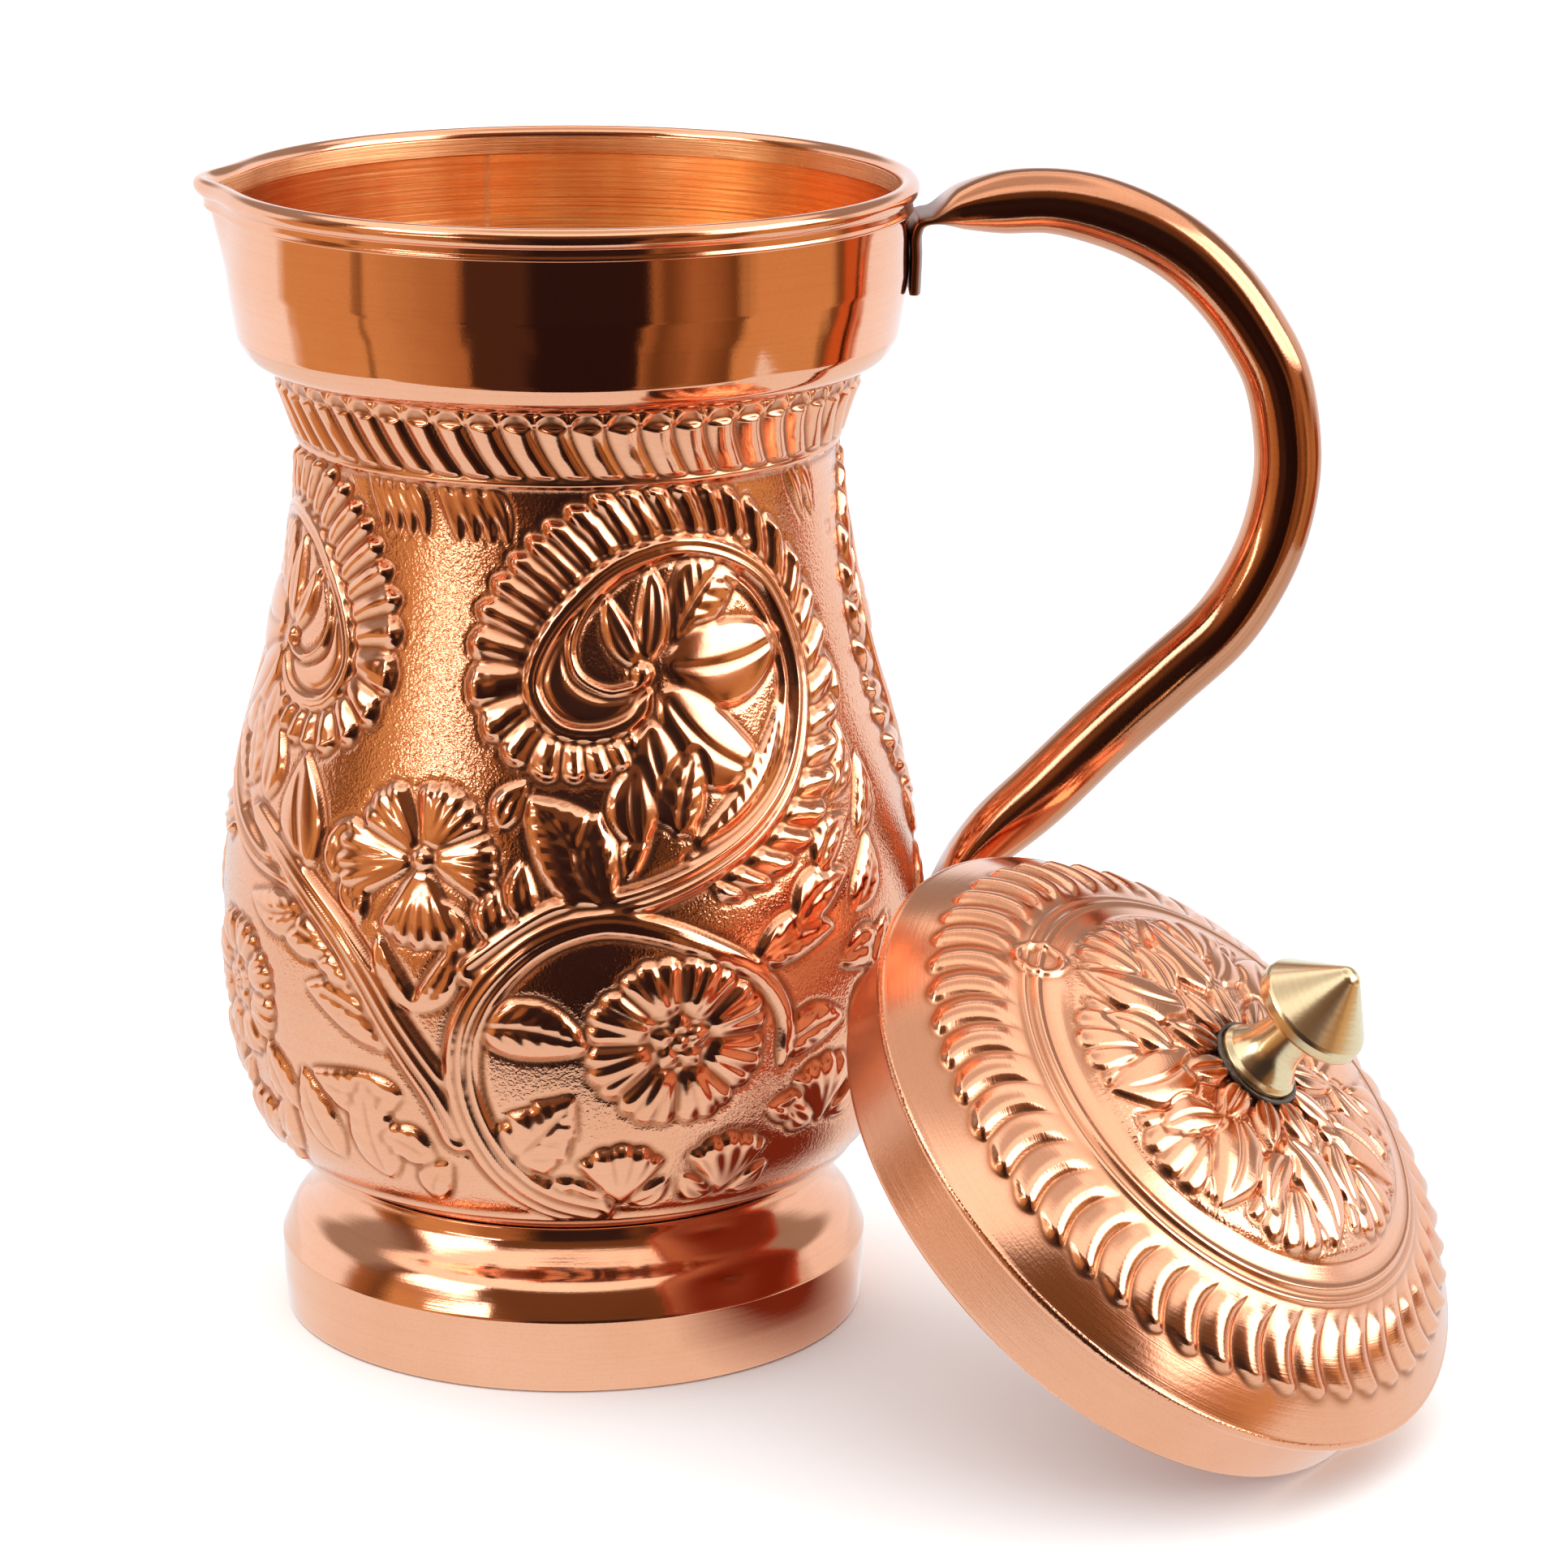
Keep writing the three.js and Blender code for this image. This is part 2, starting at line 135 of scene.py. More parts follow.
def grid(name, p, wrap_rows=False, sharp=None):
    """A mesh from rows of points, each row closed on itself. Rows run upwards on the outside."""
    rows, cols = p.shape[:2]
    last = rows if wrap_rows else rows - 1
    i, j = np.meshgrid(np.arange(last), np.arange(cols), indexing="ij")
    i2, j2 = (i + 1) % rows, (j + 1) % cols
    quads = np.stack([i * cols + j, i * cols + j2, i2 * cols + j2, i2 * cols + j], -1).reshape(-1, 4)
    u0, u1, v0, v1 = j / cols, (j + 1) / cols, i / last, (i + 1) / last
    uvs = np.stack([u0, v0, u1, v0, u1, v1, u0, v1], -1).reshape(-1, 8)
    return add_mesh(name, p.reshape(-1, 3), quads, uvs, sharp)


def turned(line, cols, height=None):
    """Rows of points of a [radius, height] line turned about Z. Column 0 faces -Y, columns go towards +X."""
    line = np.asarray(line, float)
    a = np.arange(cols) * TAU / cols
    r, z = line[:, :1] + 0 * a, line[:, 1:] + 0 * a
    if height is not None:
        n = outward(line)
        r, z = r + n[:, :1] * height, z + n[:, 1:] * height
    return np.stack([r * np.sin(a), -r * np.cos(a), z], -1)


# ---------------- relief
def ramp(v, low, high):
    """Smooth step from 0 at `low` to 1 at `high`."""
    t = np.clip((v - low) / (high - low), 0, 1)
    return t * t * (3 - 2 * t)


def pillow(inside, width):
    """Rounded rise from 0 at an edge to 1 at `width` inside it."""
    t = np.clip(inside / np.maximum(width, 1e-6), 0, 1)
    return np.sqrt(t * (2 - t))


def bell(v, width):
    """1 at zero, falling off on both sides."""
    return np.exp(-((v / width) ** 2))


CHUNK, FRILL_STEPS = 20000, 400


class Relief:
    """Heights in mm over flat points (x, y), built up motif by motif, as a chaser works."""

    def __init__(self, x, y):
        self.shape = x.shape
        self.x, self.y = x.ravel(), y.ravel()
        self.h = np.zeros(self.x.size)
        self.cover = np.zeros(self.x.size)

    def mirrored(self, about):
        """The same surface seen with left and right exchanged about a column."""
        other = copy.copy(self)
        other.x = 2 * about - self.x
        return other

    def near(self, x, y, reach):
        return np.nonzero((np.abs(self.x - x) < reach) & (np.abs(self.y - y) < reach))[0]

    def lay(self, i, inside, height, groove=0.3):
        """Puts a motif on top. `inside` is the distance within its outline, negative outside it."""
        mask = ramp(inside, -0.2, 0.25)
        line = groove * bell(inside + 0.45, 0.42)
        self.h[i] = self.h[i] * (1 - mask) + height * mask - line * (1 - mask)
        self.cover[i] = np.maximum(self.cover[i], np.maximum(mask, line))

    def leaf(self, x, y, angle, length, width, bend=0.0, veins=3.2, lift=1.15, teeth=0.0):
        """A pointed leaf from its stalk at (x, y), with a midrib and, `veins` mm apart, side veins."""
        c, s = math.cos(math.radians(angle)), math.sin(math.radians(angle))
        i = self.near(x + c * length / 2, y + s * length / 2, length * 0.62 + width * 0.6 + abs(bend))
        dx, dy = self.x[i] - x, self.y[i] - y
        a, b = dx * c + dy * s, dy * c - dx * s
        t = a / length
        b = b - bend * 4 * t * (1 - t)
        tc = np.clip(t, 0, 1)
        half = width / 2 * np.sin(np.pi * tc**0.8) ** 0.75
        if teeth:
            half = half * (1 - 0.22 * (a / teeth % 1))
        inside = np.where((t > 0) & (t < 1), half - np.abs(b), -1.2 - np.abs(t - tc) * length)
        height = lift * (0.2 + 0.8 * pillow(inside, width * 0.42)) * (0.75 + 0.25 * np.sin(np.pi * tc))
        height -= 0.4 * bell(b, 0.5) * ramp(t, 0.0, 0.1) * ramp(1 - t, 0.05, 0.25)
        if veins:
            stripe = np.maximum(0, np.cos(TAU * (a - np.abs(b) * 0.8) / veins)) ** 3
            height -= 0.26 * stripe * ramp(np.abs(b), 0.3, 1.2) * ramp(inside, 0.0, 0.9)
        self.lay(i, inside, height)

    def fan(self, x, y, angle, radius, spread, ribs, lift=1.25, start=0.0):
        """A ribbed petal that opens like a fan from its base."""
        i = self.near(x, y, radius * 1.1)
        dx, dy = self.x[i] - x, self.y[i] - y
        r = np.hypot(dx, dy)
        a = (np.degrees(np.arctan2(dy, dx)) - angle + 180) % 360 - 180
        k = a / spread * ribs
        lobe = np.abs(np.cos(np.pi * k))
        rounding = np.cos(np.radians(np.clip(a / spread * 70, -80, 80))) ** 0.4
        edge = radius * (0.93 + 0.07 * lobe**0.5) * rounding
        side = (spread / 2 - np.abs(a)) * np.pi / 180 * r
        inside = np.minimum(np.minimum(edge - r, side + 0.4), r - start)
        height = lift * (0.15 + 0.85 * pillow(inside, radius * 0.26)) * (0.5 + 0.5 * ramp(r, 0, radius * 0.7))
        height -= 0.4 * (1 - lobe) ** 1.5 * ramp(r, radius * 0.15, radius * 0.5)
        self.lay(i, inside, height)

    def boss(self, x, y, radius, lift=1.2):
        """A round dot."""
        i = self.near(x, y, radius * 2)
        r = np.hypot(self.x[i] - x, self.y[i] - y)
        self.lay(i, radius - r, lift * pillow(radius - r, radius))

    def nearest(self, i, line):
        """Along-distance and signed side distance (left positive) of the points i from a line."""
        seg = np.diff(line, axis=0)
        long = np.linalg.norm(seg, axis=1)
        start = np.concatenate([[0], np.cumsum(long)[:-1]])
        along, side = np.empty(i.size), np.empty(i.size)
        for k in range(0, i.size, CHUNK):
            part = i[k:k + CHUNK]
            q = np.stack([self.x[part], self.y[part]], 1)
            w = q[:, None, :] - line[None, :-1]
            t = np.clip((w * seg).sum(2) / (long * long), 0, 1)
            d = w - t[..., None] * seg
            dist = np.hypot(d[..., 0], d[..., 1])
            m = dist.argmin(1)
            n = np.arange(len(q))
            turn = seg[m, 0] * w[n, m, 1] - seg[m, 1] * w[n, m, 0]
            along[k:k + CHUNK] = start[m] + t[n, m] * long[m]
            side[k:k + CHUNK] = dist[n, m] * np.sign(turn)
        return along, side, start[-1] + long[-1]

    def along(self, points, reach):
        """The points within reach of a smooth line, how far along and to the side of it, and its length."""
        line = catmull(points, 10 * (len(points) - 1))
        mid, size = (line.max(0) + line.min(0)) / 2, (line.max(0) - line.min(0)) / 2
        close_x = np.abs(self.x - mid[0]) < size[0] + reach
        close_y = np.abs(self.y - mid[1]) < size[1] + reach
        i = np.nonzero(close_x & close_y)[0]
        return (i, *self.nearest(i, line))

    def vine(self, points, width, end=None, strands=1, lift=0.9):
        """A stem or rim along a line, with parallel strands."""
        i, s, d, total = self.along(points, width)
        end = width if end is None else end
        half = (width + (end - width) * s / total) / 2
        half = half * np.sqrt(ramp(total - s, 0, 3) * 0.85 + 0.15)
        inside = half - np.abs(d)
        height = lift * pillow(inside, half * 0.8)
        if strands > 1:
            rounding = np.abs(np.sin(np.pi * (d / (2 * half) + 0.5) * strands)) ** 0.8
            height *= 0.2 + 0.8 * rounding
        self.lay(i, inside, height, 0.4)

    def frill(self, points, widths, pitches, leans, lift=1.0):
        """A fluted border on the right-hand side of a line, with rounded outer ends."""
        i, s, d, total = self.along(points, max(widths) + 2)
        wide, lean = [np.interp(s / total, np.linspace(0, 1, len(v)), v) for v in (widths, leans)]
        steps = np.linspace(0, 1, FRILL_STEPS)
        count = np.cumsum(total / FRILL_STEPS / np.interp(steps, np.linspace(0, 1, len(pitches)), pitches))
        flute = np.interp(s / total, steps, count)
        out = np.maximum(-d / wide, 0)
        f = (flute - lean * out**1.4) % 1
        lobe = np.sin(np.pi * f**1.25) ** 0.85
        inside = np.minimum(wide * (0.84 + 0.16 * lobe) + d, -d + 0.3)
        inside = np.where((s <= 0) | (s >= total), -2, inside)
        height = lift * (0.05 + 0.95 * lobe * (0.55 + 0.45 * ramp(out, 0.1, 0.6)))
        height += 0.3 * bell(out - 0.86, 0.09) * lobe
        self.lay(i, inside, height * ramp(inside, -0.2, 1.4))

    def punch(self, depth, seed):
        """The ground between motifs, matted with a small punch."""
        grain = np.random.default_rng(seed).normal(size=self.h.size)
        self.h += depth * np.clip(grain, -2, 2) * (1 - self.cover)

    def soften(self, times):
        """Rounds every edge, as in pressed sheet."""
        self.h = blurred(self.h.reshape(self.shape), times).ravel()

    def field(self):
        return self.h.reshape(self.shape), self.cover.reshape(self.shape)


def blurred(h, times):
    """A field smoothed over its neighbours. Columns join up round the piece."""
    for _ in range(times):
        h = (np.roll(h, 1, 1) + h + np.roll(h, -1, 1)) / 3
        padded = np.vstack([h[:1], h, h[-1:]])
        h = (padded[:-2] + padded[1:-1] + padded[2:]) / 3
    return h


CAVITY_REACH, CAVITY_DEPTH = 8, 0.2


def cavity(h):
    """0 on open surfaces, up to 1 in grooves, where the metals paint shade and make the surface matt."""
    return np.clip((blurred(h, CAVITY_REACH) - h) / CAVITY_DEPTH, 0, 1)


def add_values(piece, name, values):
    """Stores a value per point, which the metals read."""
    layer = piece.data.attributes.new(name, "FLOAT", "POINT")
    layer.data.foreach_set("value", values.astype(np.float32).ravel())


# ---------------- belly pattern
# Flat positions are [degrees round the jug from the front towards the handle, mm above z = -FLAT_LIFT].
AXIS = -26.67
CELL_START, CELL_WIDTH = -112, 180
FLAT_LIFT = 1.3

PAISLEY_RIM = [
    (-16, 80), (-8, 86.5), (-1, 90.5), (10, 92), (22, 96), (33, 102), (42, 111), (47, 123), (46.5, 133),
    (42, 142), (33, 147.5), (22, 149.5), (10, 147), (1, 141), (-5, 134), (-7, 127), (-3, 121), (4, 119.5),
    (11, 121.5), (14.5, 126),
]
PAISLEY_HOOK = [(14, 127.5), (7, 126.3), (1.5, 129), (0, 134), (3, 140), (10, 145), (20, 148)]
PAISLEY_INNER = [(20, 98), (30, 103), (38, 111), (43, 123), (42.5, 132), (38, 140), (31, 145)]
FRILL_WIDTHS = [7, 9.5, 10.5, 10.5, 10, 10, 10, 10.5, 11, 12, 13.5, 14.5, 14.5, 11, 8, 7]
FRILL_PITCHES = [5, 5, 4.8, 4.8, 4.6, 3.8, 3.2, 3]
FRILL_LEANS = [1.2, 1, 0.9, 1, 1.1, 0.7, 0.3, 0.3]
LEFT_BRANCH = [
    (-19, 50), (-22, 57), (-26, 63), (-30, 69), (-35, 77), (-41, 84), (-49, 90), (-58, 95), (-68, 99),
]
TRUNK = [
    (4, 34), (-5, 37.5), (-12, 44), (-16.5, 53), (-18, 62), (-16.5, 71), (-12, 79), (-5, 85.5), (4, 88.5),
    (13, 87), (22, 83), (31, 77), (36, 69), (36, 60),
]
# Leaves are [x, y, angle, length, width, bend, veins].
PAISLEY_LEAVES = [
    (13.5, 130, 118, 14, 5, 1.2, 0), (14.5, 131, 84, 16, 6.5, -1, 0), (20, 134, 38, 25, 12, 2.5, 3),
    (18, 130, 7, 27, 14, -2, 0), (17, 126, -38, 26, 13, -3, 0), (14, 121, -70, 21, 10, -2, 0),
    (21, 100, 48, 33, 9, -5, 2.2), (11, 101, 88, 14, 8, 1, 0), (18, 102, 72, 15, 8, 1, 3.5),
]
RIGHT_LEAVES = [
    (30, 79, 12, 17, 8, 2), (38, 84, 28, 15, 8, 2), (44, 92, 40, 13, 7, 2), (52, 84, 60, 14, 7, -2),
    (48, 76, -10, 14, 7, 2), (56, 96, 72, 14, 6, -2), (50, 104, 62, 13, 6, -2), (54, 116, 75, 12, 5, -1),
    (36, 62, 15, 14, 8, 2), (52, 62, 40, 14, 7, 2), (58, 70, 70, 12, 6, 1), (34, 52, -20, 11, 6, 1),
]
LEFT_LEAVES = [
    (-29, 65, 158, 20, 10, -2), (-33, 73, 152, 20, 9, -2), (-40, 81, 160, 18, 9, 2), (-29, 56, 178, 19, 9, 2),
    (-34, 39, 97, 19, 10, 0.5), (-44, 41, 112, 17, 9, 1), (-24, 44, 158, 11, 7, -1), (-48, 86, 185, 16, 8, 2),
    (-26, 35.5, 62, 10, 6, 1), (-54, 48, 120, 13, 8, 1), (-60, 38, 70, 12, 7, 1), (-90, 88, 120, 14, 7, 2),
    (-94, 74, 95, 14, 7, 2), (-92, 58, 80, 14, 7, -2), (-86, 44, 100, 12, 7, 1), (-98, 100, 100, 13, 6, 2),
]
MIDDLE_LEAVES = [
    (-17, 80, 112, 13, 6, -1), (-11, 84, 100, 12, 5.5, 1), (-6.5, 88, 98, 11, 5, 1), (-36, 86, 100, 12, 6, 1),
    (-42, 92, 80, 11, 6, 1), (-12, 104, 60, 9, 5, 1), (9, 96, 60, 9, 4, 1),
]
NECK_BLADES_X = (-46, -42.5, -39, -35.5, -28, -24.5, -21, -17.5, 52, 56, -88, -92)
BUDS = ((8, 36.5), (27, 36.8), (46, 47.5), (-68, 36), (-78, 48))
NICKS = ((70, 139), (74, 134), (70, 128.5), (75, 123), (72, 118.5), (76, 113), (68, 147), (74, 150))


def paisley(r):
    r.frill(PAISLEY_RIM[4:19], FRILL_WIDTHS, FRILL_PITCHES, FRILL_LEANS, lift=1.35)
    r.vine([(12, 124), (4, 123), (-2.5, 127), (-2.5, 134), (3, 141), (11, 146)], 6, 2, lift=0.25)
    for leaf in PAISLEY_LEAVES:
        r.leaf(*leaf)
    r.vine(PAISLEY_INNER, 1.5, lift=0.7)
    r.vine(PAISLEY_HOOK, 1.5, 1.0, lift=0.9)
    r.vine(PAISLEY_RIM, 5.4, 2.6, strands=2, lift=1.35)
    r.boss(13.5, 129, 1.9)


def round_flower(r, x, y, radius=14, petals=8):
    for k in range(petals):
        r.fan(x, y, 22 + k * 360 / petals, radius, 360 / petals - 1, 3, lift=1.4, start=3.5)
    r.boss(x, y, 5.6, 0.5)
    for k in range(5):
        r.leaf(x, y, 90 + k * 72, 5.2, 3, veins=0, lift=1.1)
    r.boss(x, y, 1.2, 1.3)


def axis_flower(r):
    """The flower between the two paisleys."""
    for angle, reach, spread, ribs in ((188, 17, 50, 4), (136, 14, 48, 3), (62, 13, 68, 5), (-4, 13, 52, 4),
                                       (-90, 15, 62, 5)):
        r.fan(-25, 98, angle, reach, spread, ribs, start=1.2)
    r.boss(-25, 98, 1.9)
    for angle, bend in ((118, 1.5), (62, -1.5)):
        r.leaf(-25.5, 72, angle, 14, 5, bend, veins=2)


def bud(r, x, y):
    r.leaf(x - 2, y, 142, 8, 5, 1, veins=0)
    r.leaf(x + 2, y, 38, 8, 5, -1, veins=0)
    r.fan(x, y - 0.5, 90, 12.5, 74, 4, lift=1.5)


def paisley_foot(r):
    """Leaves that overlap the lower ends of the paisleys."""
    r.leaf(5, 91, 124, 22, 13, -1.5, veins=3.2, lift=1.4)
    r.leaf(6, 92, 96, 15, 6, 1.5)
    r.leaf(-49, 92, 103, 20, 12, 1, veins=0, lift=1.3)


def lower_scroll(r):
    """Buds along the foot, and the round flowers with the trunk that curls round one of them."""
    r.leaf(-13, 44, 47, 19, 13, -1, teeth=4.5, veins=4.5, lift=1.3)
    r.leaf(-7, 37, 12, 12, 6, 1)
    for x, y in BUDS:
        bud(r, x, y)
    r.leaf(-15, 70, -11, 18, 10.5, 1.8, veins=3, lift=1.4)
    round_flower(r, 17, 67, 15.5)
    round_flower(r, -70, 67, 13)
    r.vine(TRUNK, 7.5, 2.4, strands=3, lift=1.35)


def nicks(r):
    """Small chased strokes beside the paisleys, on both edges of the repeat."""
    for x, y in NICKS:
        for at in (x, x - CELL_WIDTH):
            r.leaf(at - 1.5, y, 0, 3.4, 0.9, veins=0, lift=0.35)


def belly_pattern(x, y):
    """Later motifs lie over earlier ones."""
    r = Relief(x, y)
    for x0 in NECK_BLADES_X:
        r.leaf(x0, 160, -62, 11, 3.6, 1, veins=0, lift=0.8)
    for leaf in RIGHT_LEAVES + LEFT_LEAVES + MIDDLE_LEAVES:
        r.leaf(*leaf)
    for side in (r, r.mirrored(AXIS)):
        paisley(side)
    paisley_foot(r)
    axis_flower(r)
    r.vine(LEFT_BRANCH, 7, 4, strands=3, lift=1.35)
    lower_scroll(r)
    nicks(r)
    r.soften(2)
    r.punch(0.014, GRAIN_SEED)
    return r.field()


def slanted_flute(x, pitch, power):
    """Height of a flute across its pitch, steeper on one side."""
    return np.sin(np.pi * ((x / pitch) % 1) ** 1.35) ** power


def neck_pattern(x, y):
    """Hanging flutes under a row of small arches, over a raised line."""
    pitch, top, bottom, line, upper_line = 360 / 54, 171, 161.6, 160.7, 176.6
    t = np.clip((top - y) / (top - bottom), 0, 1)
    lobe = slanted_flute(x - 5 * t**1.6, pitch, 0.8)
    span = ramp(y, bottom - 0.4, bottom + 0.8) * ramp(-y, -top - 0.6, -top + 0.6)
    h = 1.2 * lobe * span * (1 - 0.3 * t)
    arch = np.hypot(((x / pitch) % 1 - 0.5) * pitch * 0.88, y - top)
    above = ramp(y, top - 0.5, top + 0.5)
    h = h * (1 - above) + above * (0.5 * bell(arch - 2.7, 0.8) + 0.1 * bell(arch, 1.3))
    return h + 0.6 * bell(y - line, 0.75) + 0.25 * bell(y - upper_line, 0.6)


def belly_heights(z):
    """Relief height and pattern cover for each row of the wall and each column round it."""
    bottom, top, neck = 32.6, 160.2, 158
    y = z + FLAT_LIFT
    x2, y2 = np.meshgrid(CELL_START + np.arange(CELL_WIDTH * COLS_PER_DEGREE) / COLS_PER_DEGREE, y)
    h, cover = belly_pattern(x2, y2)
    fade = (ramp(y, bottom, bottom + 1.4) * ramp(-y, -top, -top + 1.4))[:, None]
    shift = CELL_START * COLS_PER_DEGREE
    h, cover = [np.roll(np.hstack([v, v]), shift, 1) for v in (h * fade, np.maximum(cover, 1 - fade))]
    all_x, all_y = np.meshgrid(np.arange(EMBOSSED_COLS) / COLS_PER_DEGREE, y)
    h = h + neck_pattern(all_x, all_y) * ramp(all_y, neck, neck + 1.5)
    return h + 0.5 * bell(all_y - bottom, 0.7) - 0.3 * fade, cover


# ---------------- jug pieces
AXIS_R, FINE_STEP = 0.02, 0.4


def inset(line, thickness):
    """The line moved inwards by a thickness."""
    return line - outward(line) * thickness


def sheet_outline(wall, thickness=SHEET):
    """Closed outline of a sheet whose outer side is the given line, drawn upwards."""
    return np.vstack([wall, inset(wall, thickness)[::-1], wall[:1]])


def pinched(p):
    """Moves points of the mouth outwards near the pouring lip, more towards the rim."""
    angle = np.arctan2(p[..., 1], -p[..., 0])
    rise = np.clip((p[..., 2] - POUR_START) / (RIM_Z - POUR_START), 0, 1.2)
    push = POUR_REACH * np.exp(-((angle / POUR_SPREAD) ** 2)) * rise
    return p + np.stack([-push * np.cos(angle), push * np.sin(angle), 0 * push], -1)


def belly_wall():
    """Outer [radius, height] line from the crease over the foot to the neck's upper edge."""
    knots = [
        (CREASE_R, CREASE_Z), (BELLY_R - 8, CREASE_Z + 7.3), (BELLY_R - 2.6, CREASE_Z + 20.5),
        (BELLY_R, BELLY_Z), (BELLY_R - 3.3, BELLY_Z + 22),
        ((BELLY_R + NECK_R) / 2 - 0.5, (BELLY_Z + NECK_Z) / 2 + 2.5),
        (NECK_R + 1.9, NECK_Z - 14.3), (NECK_R, NECK_Z), (NECK_R + 1.6, NECK_Z + 8.2), (LIP_R, LIP_Z),
    ]
    return even(np.vstack([catmull(knots, 180), [[LIP_R, LIP_Z + LIP_HEIGHT - 0.3]]]), 0.33)


def belly():
    wall = belly_wall()
    inside = inset(even(wall, 2.5), SHEET)[::-1]
    inside[-1] = [CREASE_R - SHEET, CREASE_Z + SHEET]
    under = even([(AXIS_R, CREASE_Z), (CREASE_R - 0.2, CREASE_Z)], 4)
    lip = arc(LIP_R - SHEET / 2, LIP_Z + LIP_HEIGHT - SHEET / 2, SHEET / 2, 0, 180, 6)
    floor = even([(CREASE_R - SHEET - 0.3, CREASE_Z + SHEET), (AXIS_R, CREASE_Z + SHEET)], 4)
    line = np.vstack([under, wall, lip, inside[1:], floor])
    heights, covers = np.zeros((2, len(line), EMBOSSED_COLS))
    rows = slice(len(under), len(under) + len(wall))
    heights[rows], covers[rows] = belly_heights(wall[:, 1])
    piece = grid("belly", turned(line, EMBOSSED_COLS, heights))
    # Painted shade in the grooves: the metals darken the colour where this value is high.
    add_values(piece, "cavity", cavity(heights))
    add_values(piece, "cover", covers)
    # Inside faces: brushed, and painted brighter as painted light by the metals.
    add_values(piece, "brushing_and_inside_light", (np.arange(len(line)) > rows.stop)[:, None] * np.ones(EMBOSSED_COLS))
    return piece


def collar():
    """The inner face is brushed and painted brighter as painted light, and has a dark seam."""
    middle_z = (EDGE_Z + POUR_START) / 2 + 1
    corner = catmull([(LIP_R + 2.6, LIP_Z + 1.4), (EDGE_R - 1.7, EDGE_Z - 3), (EDGE_R, EDGE_Z)], 16)
    side = catmull([(EDGE_R, EDGE_Z), (COLLAR_R - 0.5, middle_z), (COLLAR_R, POUR_START)], 16)
    start, end = [(LIP_R + JOIN_GAP, LIP_Z + 0.5)], [(COLLAR_R, RIM_Z - BEAD_R + 0.5)]
    wall = even(np.vstack([start, corner, side[1:], end]), FINE_STEP)
    line = even(sheet_outline(wall), FINE_STEP)
    piece = grid("collar", pinched(turned(line, PLAIN_COLS)), wrap_rows=True)
    inner = (np.arange(len(line)) > len(line) // 2)[:, None] * np.ones(PLAIN_COLS)
    seam = 0.9 * (np.arange(PLAIN_COLS) == SEAM_COL)
    add_values(piece, "brushing_and_inside_light", inner)
    add_values(piece, "cavity", inner * seam)
    return piece


def rim():
    """A strip folded over the collar's edge and round the rim wire, with a thin raised line at its foot."""
    centre, hollow = HEM_IN + BEAD_R, BEAD_R - HEM_SHEET
    back, proud, foot = HEM_OUT - HEM_SHEET, HEM_OUT + HEM_LINE, HEM_FOOT
    meet_out = -math.degrees(math.acos((HEM_OUT - centre) / BEAD_R))
    meet_in = -math.degrees(math.acos((back - centre) / hollow))
    line = np.vstack([
        [(back, foot), (proud - 0.15, foot), (proud, foot + 0.2), (proud, foot + 0.5), (HEM_OUT, foot + 1)],
        arc(centre, RIM_Z, BEAD_R, meet_out, 180, 40),
        [(HEM_IN, RIM_Z - HEM_INSIDE), (HEM_IN + HEM_SHEET, RIM_Z - HEM_INSIDE)],
        arc(centre, RIM_Z, hollow, 180, meet_in, 24),
        [(back, foot)],
    ])
    line = even(line, 0.15)
    piece = grid("rim", pinched(turned(line, RIM_COLS)), wrap_rows=True)
    inner = (line[:, 0] < HEM_IN + 0.02) & (line[:, 1] < RIM_Z)
    # Inside faces: brushed, and painted brighter as painted light by the metals.
    add_values(piece, "brushing_and_inside_light", inner[:, None] * np.ones(RIM_COLS))
    return piece


def foot():
    band = [
        (FOOT_R - 1.1, 0.05), (FOOT_R - 0.75, 0.3), (FOOT_R - 0.2, FOOT_BAND_Z / 2),
        (FOOT_R, FOOT_BAND_Z - 0.4),
    ]
    shoulder = [
        (FOOT_R, FOOT_BAND_Z), (FOOT_R - 2.3, FOOT_BAND_Z + 5), (CREASE_R + 3, CREASE_Z - 6.3),
        (CREASE_R + 0.7, CREASE_Z - 3), (CREASE_R, CREASE_Z - JOIN_GAP),
    ]
    wall = even(np.vstack([band, catmull(shoulder, 48)]), FINE_STEP)
    return grid("foot", turned(even(sheet_outline(wall), FINE_STEP), PLAIN_COLS), wrap_rows=True)


def centripetal(points, steps):
    """A smooth line through the points that doesn't overshoot where they are close together."""
    p = np.array(points, float)
    p = np.vstack([2 * p[0] - p[1], p, 2 * p[-1] - p[-2]])
    t = np.linspace(0, len(p) - 3, steps + 1)
    k = np.minimum(t.astype(int), len(p) - 4)
    f = (t - k)[:, None]
    gap = np.linalg.norm(np.diff(p, axis=0), axis=1)[:, None] ** 0.5
    a, b, c, d = p[k], p[k + 1], p[k + 2], p[k + 3]
    g0, g1, g2 = gap[k], gap[k + 1], gap[k + 2]
    v0 = ((b - a) / g0 - (c - a) / (g0 + g1) + (c - b) / g1) * g1
    v1 = ((c - b) / g1 - (d - b) / (g1 + g2) + (d - c) / g2) * g1
    return (2 * b - 2 * c + v0 + v1) * f**3 + (-3 * b + 3 * c - 2 * v0 - v1) * f**2 + v0 * f + b


TAB = TAB_HEIGHT / (HEM_FOOT - TONGUE_DROP - PAD_Z)
